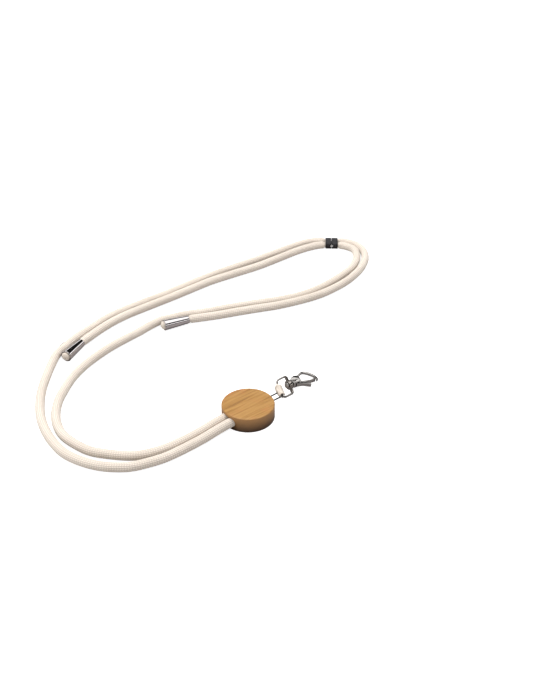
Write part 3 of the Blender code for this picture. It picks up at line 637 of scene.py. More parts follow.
def bambooMaterial():
    material, tree, shader, place = startMaterial("lacquered_bamboo")
    # long fibres lie along the strap, so the noise is stretched that way
    fine = addNode(tree, "ShaderNodeMapping", {"Vector": place, "Scale": (90.0, 2300.0, 1100.0)})
    broad = addNode(tree, "ShaderNodeMapping", {"Vector": place, "Scale": (24.0, 420.0, 300.0)})
    fibre = addNode(tree, "ShaderNodeTexNoise", {
        "Vector": fine.outputs[0], "Scale": 1.0, "Detail": 4.0, "Roughness": 0.6,
    })
    band = addNode(tree, "ShaderNodeTexNoise", {
        "Vector": broad.outputs[0], "Scale": 1.0, "Detail": 5.0, "Roughness": 0.62, "Distortion": 0.7,
    })
    cloud = addNode(tree, "ShaderNodeTexNoise", {"Vector": place, "Scale": 85.0, "Detail": 2.0})
    wood = rampNode(tree, band.outputs["Fac"], (
        (0.30, bambooLook["streak"]), (0.43, bambooLook["mid"]), (0.60, bambooLook["pale"]),
    ))
    wood = mixColour(tree, maths(tree, "MULTIPLY", fibre.outputs["Fac"], 0.55), wood, bambooLook["mid"])
    blush = addNode(tree, "ShaderNodeMapRange", {
        "Value": cloud.outputs["Fac"], "From Min": 0.52, "From Max": 0.72, "To Max": 0.5,
    })
    wood = mixColour(tree, blush.outputs[0], wood, bambooLook["blush"])
    split = addNode(tree, "ShaderNodeSeparateXYZ", {0: place})
    reach = maths(tree, "SQRT", maths(tree, "ADD", maths(tree, "POWER", split.outputs["X"], 2.0),
                                      maths(tree, "POWER", split.outputs["Y"], 2.0)))
    rim = addNode(tree, "ShaderNodeMapRange", {
        "Value": reach, "From Min": bambooLook["radius"] - 0.0006,
        "From Max": bambooLook["radius"] - 0.00005,
    })
    # the side's colour is partly the lacquered edge's own and partly painted shade, darkening from its top
    # towards the floor
    sideShadeFall = addNode(tree, "ShaderNodeMapRange", {
        "Value": split.outputs["Z"], "From Min": bambooLook["height"] * 0.85, "From Max": 0.001,
    })
    side = mixColour(tree, sideShadeFall.outputs[0], bambooLook["rim"], bambooLook["rimShadedLow"])
    side = mixColour(tree, 0.35, side, wood, "MULTIPLY")
    colour = mixColour(tree, rim.outputs[0], wood, side)
    tree.links.new(colour, shader.inputs["Base Color"])
    marks = placeGroup(tree, handlingMarks, {
        "Vector": place, "Scale": 160.0, "Low Roughness": 0.34, "High Roughness": 0.5,
    })
    tree.links.new(marks.outputs["Roughness"], shader.inputs["Roughness"])
    bumpInto(tree, shader, fibre.outputs["Fac"], 0.25, 0.00008)
    shader.inputs["Coat Weight"].default_value = 0.25
    shader.inputs["Coat Roughness"].default_value = 0.22
    return material


knit = knitMaterial()
tapeCloth = tapeMaterial()
bamboo = bambooMaterial()
wireMetal = metalMaterial("drawn_wire", (0.15, 0.15, 0.15), (0.09, 0.09, 0.09), 0.10, 0.22)
eyeMetal = metalMaterial("plated_eye", (0.38, 0.365, 0.35), (0.22, 0.20, 0.18), 0.03, 0.10)
hookMetal = metalMaterial("plated_hook", (0.44, 0.435, 0.43), (0.30, 0.295, 0.29), 0.04, 0.12)
leverMetal = metalMaterial("plated_lever", (0.40, 0.395, 0.39), (0.27, 0.26, 0.26), 0.04, 0.12)
ferruleMetal = metalMaterial("plated_ferrule", (0.70, 0.68, 0.70), (0.55, 0.53, 0.54), 0.06, 0.16, 130.0)
# partly painted highlight: a real pin, given a near-white, mostly non-metallic colour so that it shows as a
# bright glint in the clip's window under any light
pinPaintedGlint = metalMaterial("steel_pin_painted_glint", (0.95, 0.94, 0.92), (0.80, 0.79, 0.78), 0.3, 0.5)
pinPaintedGlint.node_tree.nodes["Principled BSDF"].inputs["Metallic"].default_value = 0.3
clipPlastic = plasticMaterial()
print("materials made")


# Cords ------------------------------------------------------------------------------

cordForm = {
    "diameter": 0.0072,
    "around": 64,
    "ring": 0.00043,
    "wales": 16,
    "stitch": 0.0017,
    "relief": 0.00026,
    "ferruleNeck": 0.00275,
    "clipNeck": 0.0024,
    "neckRun": 0.0026,
    "cupDepth": 0.0028,
    "tip": 0.0026,  # how far a cut end stands out of its ferrule, as a dome
}
ferruleForm = {
    "length": 0.0228,
    "mouth": 0.0048,
    "entry": 0.0034,
    "rim": 0.00062,
    "wall": 0.00028,
    "saddleLength": 0.011,
    "saddleWall": 0.0008,
    "saddleSide": 0.0087,
    "saddleRise": -0.0001,
}
outerRoute = (
    (-0.0113, -0.00375, 0.0062), (-0.021, -0.00375, 0.0062), (-0.032, -0.0037, 0.0053),
    (-0.045, -0.0038, 0.0040), (-0.062, -0.0040, 0.00365), (-0.078, -0.0033, 0.00365),
    (-0.090, -0.0006, 0.00365), (-0.102, 0.0039, 0.00365), (-0.113, 0.0126, 0.00365),
    (-0.1205, 0.022, 0.00365), (-0.127, 0.0355, 0.00365), (-0.130, 0.048, 0.00365),
    (-0.1298, 0.062, 0.00365), (-0.1273, 0.0775, 0.00365), (-0.1222, 0.094, 0.00365),
    (-0.1143, 0.110, 0.00365), (-0.1042, 0.1254, 0.00365), (-0.0925, 0.1394, 0.00365),
    (-0.0803, 0.1525, 0.0039), (-0.07008, 0.16163, 0.00475), (-0.05963, 0.16668, 0.00475),
    (-0.04918, 0.17173, 0.00475), (-0.0365, 0.1769, 0.0041), (-0.023, 0.1814, 0.00365),
    (-0.0083, 0.1854, 0.00365), (0.005, 0.1872, 0.00365), (0.0302, 0.1878, 0.00365),
    (0.056, 0.1876, 0.00365), (0.0837, 0.1887, 0.00365), (0.1116, 0.1892, 0.00365),
    (0.1389, 0.1877, 0.00365), (0.167, 0.186, 0.00365), (0.197, 0.1852, 0.00365),
    (0.2121, 0.1846, 0.00365), (0.2253, 0.182, 0.00365), (0.2332, 0.1774, 0.0036),
    (0.2384, 0.173, 0.00345), (0.24025, 0.1713, 0.00345),
)
leftEndRoute = (
    (-0.06864, 0.15267, 0.00485), (-0.0663, 0.1538, 0.00485), (-0.05585, 0.15885, 0.00485),
    (-0.0454, 0.1639, 0.00485), (-0.0349, 0.1685, 0.0042), (-0.0195, 0.1742, 0.00365),
    (-0.0054, 0.1775, 0.00365),
    (0.0085, 0.1793, 0.00365), (0.0334, 0.1797, 0.00365), (0.0597, 0.1798, 0.00365),
    (0.0874, 0.1806, 0.00365), (0.1015, 0.1808, 0.00365), (0.1277, 0.1782, 0.00365),
    (0.1546, 0.1753, 0.00365), (0.1847, 0.1752, 0.00365), (0.2005, 0.1753, 0.00365),
    (0.2158, 0.1738, 0.00365), (0.2277, 0.1707, 0.0036), (0.2334, 0.1674, 0.00345),
    (0.23525, 0.16572, 0.00345),
)
innerRoute = (
    (-0.0113, 0.00375, 0.0062), (-0.021, 0.00375, 0.0062), (-0.032, 0.0038, 0.0053),
    (-0.046, 0.0038, 0.0040), (-0.060, 0.0040, 0.00365), (-0.0726, 0.0049, 0.00365),
    (-0.083, 0.0074, 0.00365), (-0.0936, 0.0125, 0.00365), (-0.1075, 0.0268, 0.00365),
    (-0.1145, 0.037, 0.00365), (-0.1185, 0.0505, 0.00365), (-0.1199, 0.0666, 0.00365),
    (-0.1142, 0.0859, 0.00365), (-0.1031, 0.1026, 0.00365), (-0.0899, 0.1153, 0.00365),
    (-0.0754, 0.1264, 0.00365), (-0.061, 0.1341, 0.00365), (-0.0472, 0.1393, 0.00365),
    (-0.0314, 0.1438, 0.00365), (-0.0148, 0.1468, 0.00365), (0.0015, 0.1490, 0.00365),
    (0.0130, 0.1508, 0.0040), (0.02457, 0.15103, 0.00475), (0.03547, 0.14823, 0.00475),
    (0.04637, 0.14542, 0.00475), (0.0555, 0.1423, 0.0042), (0.0649, 0.1390, 0.00365),
    (0.0858, 0.1314, 0.00365), (0.1062, 0.1230, 0.00365), (0.126, 0.1142, 0.00365),
    (0.1487, 0.1074, 0.00365), (0.1629, 0.1062, 0.00365), (0.1798, 0.1070, 0.00365),
    (0.2023, 0.1108, 0.00365), (0.2205, 0.1162, 0.00365), (0.2372, 0.1272, 0.00365),
    (0.2462, 0.1385, 0.00365), (0.2479, 0.145, 0.00365), (0.2455, 0.1541, 0.0036),
    (0.2424, 0.1593, 0.00345), (0.24054, 0.16092, 0.00345),
)
rightEndRoute = (
    (0.01988, 0.14325, 0.00485), (0.0224, 0.1426, 0.00485), (0.0333, 0.1398, 0.00485),
    (0.0442, 0.137, 0.00485), (0.053, 0.1342, 0.0042), (0.0672, 0.1286, 0.00365), (0.0874, 0.1208, 0.00365),
    (0.1077, 0.1124, 0.00365), (0.1181, 0.1079, 0.00365), (0.1295, 0.1043, 0.00365),
    (0.1412, 0.1012, 0.00365), (0.1526, 0.0988, 0.00365), (0.1658, 0.0974, 0.00365),
    (0.1817, 0.0979, 0.00365), (0.199, 0.1003, 0.00365), (0.2143, 0.1049, 0.00365),
    (0.223, 0.1084, 0.00365), (0.2321, 0.1134, 0.00365), (0.2417, 0.1203, 0.00365),
    (0.2492, 0.1285, 0.00365), (0.2539, 0.1375, 0.00365), (0.2556, 0.146, 0.00365),
    (0.2543, 0.1545, 0.00365), (0.2512, 0.1612, 0.0036), (0.2474, 0.1649, 0.00345),
    (0.24554, 0.16658, 0.00345),
)


def knitRelief(angle, along):
    # neighbouring columns of stitches lean opposite ways
    column = angle * cordForm["wales"] / (2 * math.pi)
    across = column % 1 - 0.5
    lean = np.where(np.floor(column) % 2 == 0, 1.0, -1.0)
    ridge = np.cos(math.pi * across)
    loop = np.cos(2 * math.pi * (along / cordForm["stitch"] + lean * across * 0.7))
    return ridge * (0.65 + 0.35 * loop) - 0.5


def cordPiece(name, node, route, necks, domed):
    radius = cordForm["diameter"] / 2
    line, along = evenly(smoothLine(route, 0.0006), cordForm["ring"])
    total = along[-1]
    sizes = np.full(len(line), radius)
    marks = sorted((total - far if atEnd else far, size) for far, atEnd, size in necks)
    if marks:
        places, radii = zip(*marks)
        sizes = np.interp(along, places, radii)
    reliefShare = np.clip((sizes - cordForm["clipNeck"]) / (radius - cordForm["clipNeck"]), 0.15, 1)
    if domed:
        turn = np.clip(along / cordForm["tip"], 0, 1)
        dome = np.sqrt(1 - (1 - turn) ** 2.2)
        sizes = sizes * np.clip(dome, 0.04, 1)
        reliefShare = reliefShare * dome
    ahead = np.gradient(line, axis=0)
    ahead /= np.linalg.norm(ahead, axis=1)[:, None]
    side = np.cross(ahead, np.array([0.0, 0.0, 1.0]))
    side /= np.linalg.norm(side, axis=1)[:, None]
    up = np.cross(side, ahead)
    angles = np.linspace(0, 2 * math.pi, cordForm["around"], endpoint=False)
    relief = knitRelief(angles[None, :], along[:, None]) * cordForm["relief"]
    reliefShare = reliefShare.ravel()
    reach = sizes[:, None] + relief * reliefShare[:, None] - cordForm["relief"] * 0.3
    grid = line[:, None] + reach[:, :, None] * (
        side[:, None] * np.cos(angles)[None, :, None] + up[:, None] * np.sin(angles)[None, :, None]
    )
    grid[:, :, 2] = np.maximum(grid[:, :, 2], floorGap / 2)
    lay = np.stack([np.broadcast_to(angles / (2 * math.pi), reach.shape),
                    np.broadcast_to(along[:, None], reach.shape)], -1)
    cord = addObject(name, meshFromGrid(name, grid, lay=lay.copy()))
    stored = cord.data.attributes.new("relief", "FLOAT", "POINT")
    stored.data.foreach_set("value", (relief * reliefShare[:, None] / cordForm["relief"]).ravel())
    smoothShade(cord, 80)
    cord.data.materials.append(knit)
    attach(cord, "root")
    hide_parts(node)
    return cord, line


def cordNecks():
    radius = cordForm["diameter"] / 2
    inside = cordForm["cupDepth"] - clearance
    atClip = [(0, True, cordForm["clipNeck"]), (inside, True, cordForm["clipNeck"]),
              (inside + cordForm["neckRun"], True, radius)]
    entry = cordForm["tip"] + ferruleForm["length"]
    inFerrule = [(cordForm["tip"], False, radius), (entry, False, cordForm["ferruleNeck"]),
                 (entry + clearance, False, cordForm["ferruleNeck"]),
                 (entry + cordForm["neckRun"], False, radius)]
    return atClip, inFerrule


atClip, inFerrule = cordNecks()
outerCord, outerLine = cordPiece("outer_cord", "cord_outer", outerRoute, atClip, False)
innerCord, innerLine = cordPiece("inner_cord", "cord_inner", innerRoute, atClip, False)
leftCord, leftLine = cordPiece("left_end_cord", "cord_end_left", leftEndRoute, inFerrule + atClip, True)
rightCord, rightLine = cordPiece("right_end_cord", "cord_end_right", rightEndRoute, inFerrule + atClip, True)
print("cords knitted")


# Disc and wire tab ------------------------------------------------------------------

discForm = {
    "radius": 0.020,
    "height": 0.0124,
    "edge": 0.0010,
    "slotDepth": 0.009,
    "cordPitch": 0.0075,
    "wireSpread": 0.0055,
    "wireRadius": 0.0006,
    "wireReach": 0.032,
    "wireBuried": 0.007,
    "wireCorner": 0.0012,
}


def buildDisc():
    radius, height, edge = discForm["radius"], discForm["height"], discForm["edge"]
    middle = height / 2
    profile = [(0.0001, 0), (radius * 0.5, 0)]
    for step in range(9):
        angle = math.radians(-90 + 90 * step / 8)
        profile.append((radius - edge + edge * math.cos(angle), edge + edge * math.sin(angle)))
    for step in range(9):
        angle = math.radians(90 * step / 8)
        profile.append((radius - edge + edge * math.cos(angle), height - edge + edge * math.sin(angle)))
    profile += [(radius * 0.5, height), (0.0001, height)]
    disc = turnedPiece("grip_disc", profile, steps=160)
    halfWidth = discForm["cordPitch"] / 2 + cordForm["diameter"] / 2 + clearance
    halfHeight = cordForm["diameter"] / 2 + clearance
    corners = [(x * halfWidth, y * halfHeight, halfHeight * 0.999)
               for x, y in ((-1, -1), (1, -1), (1, 1), (-1, 1))]
    sideways = Matrix.Rotation(math.radians(90), 4, "Z") @ Matrix.Rotation(math.radians(90), 4, "X")
    place = Matrix.Translation((-radius, 0, middle)) @ sideways
    cutters = [flatBlank("slot", roundedOutline(corners, steps=16), 2 * discForm["slotDepth"], place)]
    for side in (-1, 1):
        y = side * discForm["wireSpread"] / 2
        inner = (radius - discForm["wireBuried"] - clearance, y, middle)
        outer = (radius + clearance, y, middle)
        cutters.append(rod("hole", discForm["wireRadius"] + clearance, inner, outer, steps=24))
    combined(disc, cutters, "DIFFERENCE")
    smoothShade(disc, 32)
    disc.data.materials.append(bamboo)
    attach(disc, "root")
    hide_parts("bamboo_disc")


def buildWireTab():
    start = discForm["radius"] - discForm["wireBuried"]
    reach, half, corner = discForm["wireReach"], discForm["wireSpread"] / 2, discForm["wireCorner"]
    corners = ((start, -half, 0), (reach, -half, corner), (reach, half, corner), (start, half, 0))
    points = [(p.x, p.y, 0) for p in roundedOutline(corners, closed=False, steps=14)]
    place = Matrix.Translation((0, 0, discForm["height"] / 2))
    tab = barPiece("wire_link", points, discForm["wireRadius"], place, 24)
    smoothShade(tab, 60)
    tab.data.materials.append(wireMetal)
    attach(tab, "root")
    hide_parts("wire_tab")


buildDisc()
buildWireTab()
print("disc and wire tab built")


# Eye, hook and lever ----------------------------------------------------------------

eyeForm = {
    "yaw": 0.5,
    "tilt": 51.5,
    "width": 0.0159,
    "length": 0.0113,
    "bar": 0.0015,
    "roundCorner": 0.0026,
    "tightCorner": 0.0012,
    "fromWire": (0.0082, 0.0049),
    "bridgeThick": 0.0018,
    "bridgeWidth": 0.0026,
    "boss": 0.0038,
    "bossInside": 0.0009,
    "bossOutside": 0.0004,
}
hookForm = {
    "yaw": 4,
    "stud": 0.0011,
    "play": 0.00035,
    "head": 0.0023,
    "headThick": 0.0013,
    "collar": 0.0028,
    "collarThick": 0.0013,
    "studShows": 0.0007,
    "baseLength": 0.0138,
    "baseThick": 0.0052,
    "baseTip": 0.0042,
    "baseSpread": 0.0064,
    "baseEdge": 0.0013,
    "reach": 0.0280,
    "spread": 0.0072,
    "bar": 0.0025,
}
leverForm = {
    "pivot": (0.0090, 0.0006),
    "thick": 0.0028,
    "root": 0.0019,
    "heel": (-0.0042, -0.0044),
    "gate": 0.0013,
    "thumb": (0.0060, -0.0102),
    "pin": 0.00075,
    "bow": 0.05,
    "notch": (0.42, 0.52),
}
# place from the base to the far end, side from the axis, bar thickness, as shares
clawSections = (
    (-0.25, 0.50, 0.90), (0.0, 0.68, 0.68), (0.23, 0.95, 0.72), (0.46, 1.17, 0.80),
    (0.70, 1.22, 0.84), (0.88, 0.96, 0.94), (0.98, 0.44, 1.0), (1.0, -0.10, 1.0),
    (0.957, -0.53, 0.96), (0.877, -0.76, 0.88), (0.754, -0.92, 0.68), (0.725, -0.935, 0.40),
)
# place along and across as shares of the base's length and spread, and corner radius
baseOutline = (
    (0.19, -0.39, 0.0006), (0.30, -0.48, 0.0010), (0.61, -0.44, 0.0010), (0.77, -0.25, 0.0015),
    (0.92, 0.0, 0.0010), (1.0, 0.50, 0.0008), (1.02, 0.86, 0.0008), (0.81, 1.05, 0.0018),
    (0.48, 0.81, 0.0018), (0.22, 0.39, 0.0006),
)


def claspPlaces():
    yaw, tilt = math.radians(eyeForm["yaw"]), math.radians(eyeForm["tilt"])
    axis = Vector((math.cos(yaw), math.sin(yaw), 0))
    flat = Vector((-math.sin(yaw), math.cos(yaw), 0))
    across = flat * math.cos(tilt) + Vector((0, 0, math.sin(tilt)))
    normal = axis.cross(across)
    bar = eyeForm["bar"]
    rise = floorGap + bar / 2 + (eyeForm["width"] - bar) / 2 * math.sin(tilt)
    centre = Vector((discForm["wireReach"] + eyeForm["fromWire"][0], eyeForm["fromWire"][1], rise))
    swivel = centre + axis * (eyeForm["length"] - eyeForm["bridgeThick"]) / 2
    pitch = math.asin((swivel.z - floorGap - hookForm["bar"] / 2) / hookForm["reach"])
    turn = Matrix.Rotation(math.radians(hookForm["yaw"]), 4, "Z") @ Matrix.Rotation(pitch, 4, "Y")
    swing = math.tan(axis.angle(turn.to_3x3().col[0]))
    return axis, across, normal, centre, Matrix.Translation(swivel) @ turn, swing


eyeAxis, eyeAcross, eyeNormal, eyeCentre, hookPlace, hookSwing = claspPlaces()


def buildEye():
    place = Matrix.Translation(eyeCentre) @ Matrix((eyeAxis, eyeAcross, eyeNormal)).transposed().to_4x4()
    bar = eyeForm["bar"]
    x, y = (eyeForm["length"] - bar) / 2, (eyeForm["width"] - bar) / 2
    wide, tight = eyeForm["roundCorner"], eyeForm["tightCorner"]
    corners = ((-x, -y, wide), (x, -y, tight), (x, y, tight), (-x, y, wide))
    ring = [(p.x, p.y, 0) for p in roundedOutline(corners, steps=12)]
    eye = barPiece("eye_casting", ring, bar / 2, place, 28, closed=True)
    outer = eyeForm["length"] / 2
    inner = outer - eyeForm["bridgeThick"]
    long, half = y - bar / 4, eyeForm["bridgeWidth"] / 2
    bridge = eased(blockPiece("bridge", (inner, -long, -half), (outer, long, half), place), 0.0005, 4)
    low, high, wide = inner - eyeForm["bossInside"], outer + eyeForm["bossOutside"], eyeForm["boss"]
    soft = 0.00045
    profile = [(0.0001, low)]
    for step in range(7):
        angle = math.radians(90 * step / 6)
        profile.append((wide - soft + soft * math.sin(angle), low + soft - soft * math.cos(angle)))
    profile += [(r, low + high - z) for r, z in reversed(profile)]
    boss = turnedPiece("boss", profile, place @ Matrix.Rotation(math.radians(90), 4, "Y"), 72)
    combined(eye, [bridge, boss], "UNION")
    reach = eyeForm["bridgeThick"] * 2
    hole = rod("stud_hole", hookForm["stud"] + hookForm["play"], (-reach, 0, 0), (reach, 0, 0), hookPlace)
    combined(eye, [hole], "DIFFERENCE")
    smoothShade(eye, 40)
    eye.data.materials.append(eyeMetal)
    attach(eye, "root")
    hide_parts("swivel_eye")


def clawPoints():
    run = hookForm["reach"] - hookForm["baseLength"]
    return [(hookForm["baseLength"] + run * u, v * hookForm["spread"], size) for u, v, size in clawSections]


def buildHook():
    length, spread, thick = hookForm["baseLength"], hookForm["baseSpread"], hookForm["baseThick"]
    outline = roundedOutline([(u * length, v * spread, r) for u, v, r in baseOutline], steps=8)
    hook = flatBlank("hook_casting", outline, thick)
    for vertex in hook.data.vertices:
        vertex.co.z *= 1 - (1 - hookForm["baseTip"] / thick) * vertex.co.x / length
    eased(hook, hookForm["baseEdge"], 6)
    hook.data.transform(hookPlace)
    head = -eyeForm["bridgeThick"] / 2 - eyeForm["bossInside"] - clearance - hookForm["head"] * hookSwing
    collar = eyeForm["bridgeThick"] / 2 + eyeForm["bossOutside"] + hookForm["studShows"]
    collar += hookForm["collar"] * hookSwing
    wide, deep = hookForm["collar"], hookForm["collarThick"]
    profile = [
        (0.0001, collar + 3 * deep), (wide * 0.7, collar + 3 * deep), (wide * 0.86, collar + deep * 1.4),
        (wide * 0.97, collar + deep * 1.08), (wide, collar + deep), (wide, collar + deep * 0.2),
        (wide * 0.98, collar + deep * 0.06), (wide * 0.95, collar), (hookForm["stud"], collar),
        (hookForm["stud"], head), (hookForm["head"] * 0.95, head),
    ]
    for step in range(9):
        angle = math.radians(step * 10)
        profile.append((hookForm["head"] * math.cos(angle), head - hookForm["headThick"] * (0.15 + 0.85 * math.sin(angle))))
    profile.append((0.0001, head - hookForm["headThick"]))
    stud = turnedPiece("stud", profile, hookPlace @ Matrix.Rotation(math.radians(90), 4, "Y"), 72)
    sections = clawPoints()
    path = smoothLine([(u, v, 0) for u, v, _ in sections], hookForm["bar"] / 7)
    share = np.linspace(0, 1, len(sections))
    sizes = np.interp(np.linspace(0, 1, len(path)), share, [size for _, _, size in sections])
    radii = sizes * hookForm["bar"] / 2
    claw = barPiece("claw", path, radii, hookPlace, 32)
    combined(hook, [stud, claw], "UNION")
    pivot, root = Vector(leverForm["pivot"]), leverForm["root"]
    heel = pivot + Vector(leverForm["heel"])
    back, top = pivot.x - root - clearance * 1.5, pivot.y + root + clearance * 1.5
    low, far = -2 * spread, 1.5 * length
    slot = ((heel.x - clearance * 2, low), (far, low), (far, top), (back, top),
            (back, heel.y + root * 2.15), (heel.x - clearance * 2, heel.y + root * 1.15))
    combined(hook, [flatBlank("slot", slot, leverForm["thick"] + 2 * clearance, hookPlace)], "DIFFERENCE")
    pinHalf = thick * 0.5
    pin = turnedPiece("pin", (
        (0.0001, -pinHalf), (leverForm["pin"] * 0.8, -pinHalf), (leverForm["pin"], -pinHalf + 0.00015),
        (leverForm["pin"], pinHalf - 0.00015), (leverForm["pin"] * 0.8, pinHalf), (0.0001, pinHalf),
    ), hookPlace @ Matrix.Translation((*pivot, 0)), 36)
    combined(hook, [pin], "UNION")
    smoothShade(hook, 40)
    hook.data.materials.append(hookMetal)
    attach(hook, "hook")
    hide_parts("swivel_hook")


def buildLever():
    noseU, noseV, noseSize = clawPoints()[-2]
    pivot, root, gate = Vector(leverForm["pivot"]), leverForm["root"], leverForm["gate"]
    heel, thumb = Vector(leverForm["heel"]), Vector(leverForm["thumb"])
    low = Vector((noseU, noseV + noseSize * hookForm["bar"] / 2 + clearance * 1.5)) - pivot
    high = low + Vector((0, gate))
    knee = Vector((root * 1.6, heel.y * 0.62))
    middle = knee.lerp(high, 0.5) - Vector((0, leverForm["bow"] * low.x))
    notch = Vector((thumb.x * leverForm["notch"][0], thumb.y * leverForm["notch"][1]))
    tab = thumb.normalized() * gate
    side = Vector((-tab.y, tab.x))
    corners = (
        (-root, root, root * 0.95), (-root, -root * 0.5, root * 0.8),
        (heel.x, heel.y + root, root * 0.4), (heel.x, heel.y, root * 0.3),
        (notch.x - root * 0.8, notch.y - root * 0.35, root * 1.5),
        (*(thumb - side * 0.5), gate * 0.35), (*(thumb + side * 0.5), gate * 0.35),
        (*(notch + side * 0.9), gate * 0.6), (*(middle - Vector((0, gate * 1.3))), low.x * 0.3),
        (*low, gate * 0.25), (*high, gate * 0.4), (*middle, low.x * 0.4),
        (*knee, root), (root, root, root * 0.95),
    )
    place = hookPlace @ Matrix.Translation((*pivot, 0))
    lever = flatBlank("trigger", roundedOutline(corners, steps=8), leverForm["thick"], place)
    eased(lever, 0.00035, 4)
    bore = leverForm["pin"] + clearance
    hole = rod("bore", bore, (0, 0, -leverForm["thick"]), (0, 0, leverForm["thick"]), place, 32)
    combined(lever, [hole], "DIFFERENCE")
    smoothShade(lever, 40)
    lever.data.materials.append(leverMetal)
    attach(lever, "lever")
    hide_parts("trigger_lever")


buildEye()
buildHook()
buildLever()
print("eye, hook and lever built")


# Tape loop --------------------------------------------------------------------------

tapeForm = {"thick": 0.0011, "width": 0.0102, "across": 28, "fine": 10, "pucker": 0.00022}
# bar (0 wire, 1 eye), turn round it, slack in thicknesses, width and sideways shift in widths
tapeSections = (
    (0, 180, 0.15, 0.66, 0.16), (0, 135, 0.0, 0.36, 0.0), (0, 90, 0.0, 0.36, 0.0),
    (0, 45, 0.0, 0.36, 0.0), (0, 0, 0.25, 0.80, 0.16), (0.5, 0, 0.75, 1.16, 0.04),
    (1, 0, 0.30, 0.82, -0.08), (1, 45, 0.12, 0.80, -0.08), (1, 90, 0.12, 0.80, -0.08),
    (1, 135, 0.12, 0.80, -0.08), (1, 180, 0.30, 0.82, -0.08), (0.5, 180, 0.65, 1.10, 0.08),
)


def buildTape():
    reach = discForm["wireReach"]
    bars = (
        (Vector((reach, 0, discForm["height"] / 2)), Vector((0, 0, 1)), Vector((-1, 0, 0)),
         Vector((0, 1, 0)), discForm["wireRadius"]),
        (eyeCentre - eyeAxis * (eyeForm["length"] - eyeForm["bar"]) / 2, eyeNormal, eyeAxis,
         eyeAcross, eyeForm["bar"] / 2),
    )
    rows = []
    for bar, turn, slack, width, shift in tapeSections:
        ends = []
        for centre, up, out, along, radius in bars:
            away = up * math.cos(math.radians(turn)) + out * math.sin(math.radians(turn))
            lift = radius + clearance + 0.0014 * (0.5 + slack)
            ends.append((centre + away * lift + along * shift * tapeForm["width"], away, along))
        middle = ends[0][0].lerp(ends[1][0], bar)
        away = ends[0][1].lerp(ends[1][1], bar).normalized()
        along = ends[0][2].lerp(ends[1][2], bar).normalized()
        rows.append((*middle, *away, *along, width * tapeForm["width"] / 2))
    rows = np.array(rows)
    wrapped = np.vstack([rows[-2:], rows, rows[:3]])
    fine = []
    for i in range(2, len(rows) + 2):
        a, b, c, d = wrapped[i - 1], wrapped[i], wrapped[i + 1], wrapped[i + 2]
        for step in range(tapeForm["fine"]):
            t = step / tapeForm["fine"]
            fine.append(0.5 * (2 * b + (c - a) * t + (2 * a - 5 * b + 4 * c - d) * t**2
                               + (3 * b - a - 3 * c + d) * t**3))
    fine = np.array(fine)
    count = len(fine)
    half = tapeForm["thick"] / 2
    across = tapeForm["across"]
    grid, lay = [], []
    for i, row in enumerate(fine):
        centre, away, along, reachSide = Vector(row[:3]), Vector(row[3:6]), Vector(row[6:9]), row[9]
        away.normalize()
        along.normalize()
        ring, where = [], []
        for j in range(2 * across):
            upper = j < across
            t = (j % across) / (across - 1) * 2 - 1
            t = t if upper else -t
            edge = math.sqrt(max(0.0, 1 - abs(t) ** 10))  # the selvedges are round
            y = t * reachSide
            fold = noise.noise(Vector((i / count * 9.0, t * 1.6, 3.1)))
            crease = math.sin(i / count * 2 * math.pi * 3 + t * 2.2) * 0.35
            push = (fold + crease) * tapeForm["pucker"]
            offset = half * edge * (1 if upper else -1) + push
            point = centre + along * y + away * max(offset, -half * 1.15)
            ring.append(point)
            where.append((y, i / count * 0.034))
        grid.append(ring)
        lay.append(where)
    grid = np.array([[tuple(p) for p in ring] for ring in grid])
    tape = addObject("tape_loop", meshFromGrid("tape_loop", grid, closedAlong=True, lay=np.array(lay)))
    recalculated(tape)
    smoothShade(tape, 75)
    tape.data.materials.append(tapeCloth)
    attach(tape, "root")
    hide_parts("fabric_loop")


buildTape()
print("tape loop built")


# Ferrules ---------------------------------------------------------------------------

def buildFerrule(name, node, mouth, entry):
    mouth = Vector(mouth)
    along = (Vector(entry) - mouth).normalized()
    place = Matrix.Translation(mouth) @ Matrix.Rotation(math.atan2(along.y, along.x), 4, "Z")
    upright = place @ Matrix.Rotation(math.radians(90), 4, "Y")
    length, wall, rim = ferruleForm["length"], ferruleForm["wall"], ferruleForm["rim"]
    wide = ferruleForm["mouth"]
    profile = []
    for step in range(13):  # the rolled rim
        angle = math.radians(-60 + 240 * step / 12)
        profile.append((wide - rim / 2 + rim / 2 * math.sin(angle), rim / 2 - rim / 2 * math.cos(angle)))
    profile = [p for p in profile if p[1] >= 0]
    barrel = wide - 0.0002
    profile += [(barrel, rim * 1.25), (ferruleForm["entry"] + 0.00008, length - 0.0006),
                (ferruleForm["entry"], length - 0.00022), (ferruleForm["entry"] - 0.0002, length)]
    neck = cordForm["ferruleNeck"] + clearance
    profile += [(neck, length), (neck, length - 0.0004),
                (wide - wall - rim, rim * 1.4)]
    ferrule = turnedPiece(name, profile, upright, 112, closed=True)
    start = (length - ferruleForm["saddleLength"]) / 2
    channel = cordForm["diameter"] / 2 + clearance
    outer = channel + ferruleForm["saddleWall"]
    arc = [math.radians(168 + (374 - 168) * step / 40) for step in range(41)]
    outline = [(outer * math.cos(a), outer * math.sin(a)) for a in arc]
    outline += [(channel * math.cos(a), channel * math.sin(a)) for a in reversed(arc)]
    saddlePlace = place @ Matrix.Translation(
        (start + ferruleForm["saddleLength"] / 2, ferruleForm["saddleSide"], ferruleForm["saddleRise"])
    ) @ Matrix.Rotation(math.radians(90), 4, "Z") @ Matrix.Rotation(math.radians(90), 4, "X")
    saddle = eased(flatBlank("saddle", outline, ferruleForm["saddleLength"], saddlePlace), 0.00012, 2, 50)
    keep = rod("keep", wide - 0.0005, (start - 0.001, 0, 0), (length - start + 0.001, 0, 0), place, 64)
    combined(saddle, [keep], "DIFFERENCE")
    combined(ferrule, [saddle], "UNION")
    smoothShade(ferrule, 38)
    ferrule.data.materials.append(ferruleMetal)
    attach(ferrule, "root")
    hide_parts(node)
    return ferrule


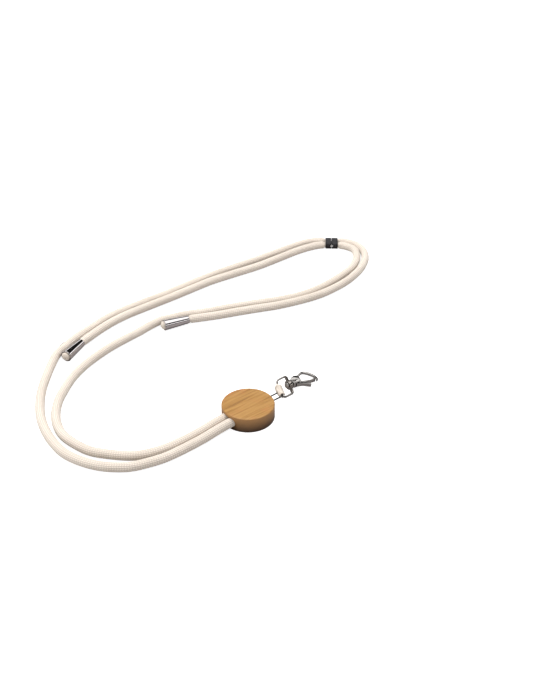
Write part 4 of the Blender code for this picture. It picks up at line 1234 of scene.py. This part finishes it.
leftFerrule = buildFerrule("left_ferrule", "ferrule_left", leftEndRoute[1], leftEndRoute[3])
rightFerrule = buildFerrule("right_ferrule", "ferrule_right", rightEndRoute[1], rightEndRoute[3])
print("ferrules built")


# Breakaway clip ---------------------------------------------------------------------

clipForm = {
    "centre": (0.2404, 0.1661),
    "direction": (0.743, -0.669),
    "length": 0.0121,
    "width": 0.0142,
    "height": 0.0068,
    "corner": 0.0026,
    "edge": 0.0003,
    "pin": 0.0012,
    "pinLength": 0.0048,
    "pinInset": 0.0019,
    "window": (0.0026, 0.0024),
}


def buildClip():
    x, y = clipForm["direction"]
    place = Matrix.Translation((*clipForm["centre"], floorGap + clipForm["height"] / 2))
    place = place @ Matrix.Rotation(math.atan2(y, x), 4, "Z")
    halfWidth, halfHeight = clipForm["width"] / 2, clipForm["height"] / 2
    corners = [(a * halfWidth, b * halfHeight, clipForm["corner"])
               for a, b in ((-1, -1), (1, -1), (1, 1), (-1, 1))]
    length = (clipForm["length"] - clearance) / 2
    near = -halfWidth + clipForm["pinInset"]
    lengthwise = Matrix.Rotation(math.radians(90), 4, "Z") @ Matrix.Rotation(math.radians(90), 4, "X")
    made = []
    for name, node, side in (("clip_left_half", "clip_socket", -1), ("clip_right_half", "clip_plug", 1)):
        centre = side * (clearance + length) / 2
        stand = place @ Matrix.Translation((centre, 0, 0)) @ lengthwise
        half = eased(flatBlank(name, roundedOutline(corners, steps=12), length, stand), clipForm["edge"], 5)
        cutters = []
        outside, bottom = side * clipForm["length"], side * (clipForm["length"] / 2 - cordForm["cupDepth"])
        for lane in (-1, 1):
            at = lane * discForm["cordPitch"] / 2
            cutters.append(rod("cup", cordForm["clipNeck"] + clearance, (bottom, at, 0), (outside, at, 0), place))
        deep = side * (clipForm["pinLength"] / 2 + clearance)
        cutters.append(rod("bore", clipForm["pin"] + clearance, (-deep / 4, near, 0), (deep, near, 0), place))
        long, tall = clipForm["window"][0] / 2, clipForm["window"][1] / 2
        cutters.append(blockPiece("window", (-long, -halfWidth * 1.1, -tall), (long, near, tall), place))
        combined(half, cutters, "DIFFERENCE")
        smoothShade(half, 40)
        half.data.materials.append(clipPlastic)
        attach(half, "root")
        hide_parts(node)
        made.append(half)
    reach = clipForm["pinLength"] / 2
    pin = eased(rod("seam_pin", clipForm["pin"], (-reach, near, 0), (reach, near, 0), place, 48), 0.0003, 3)
    smoothShade(pin, 40)
    pin.data.materials.append(pinPaintedGlint)
    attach(pin, "root")
    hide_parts("clip_pin")
    return made + [pin]


clipPieces = buildClip()
print("clip built")
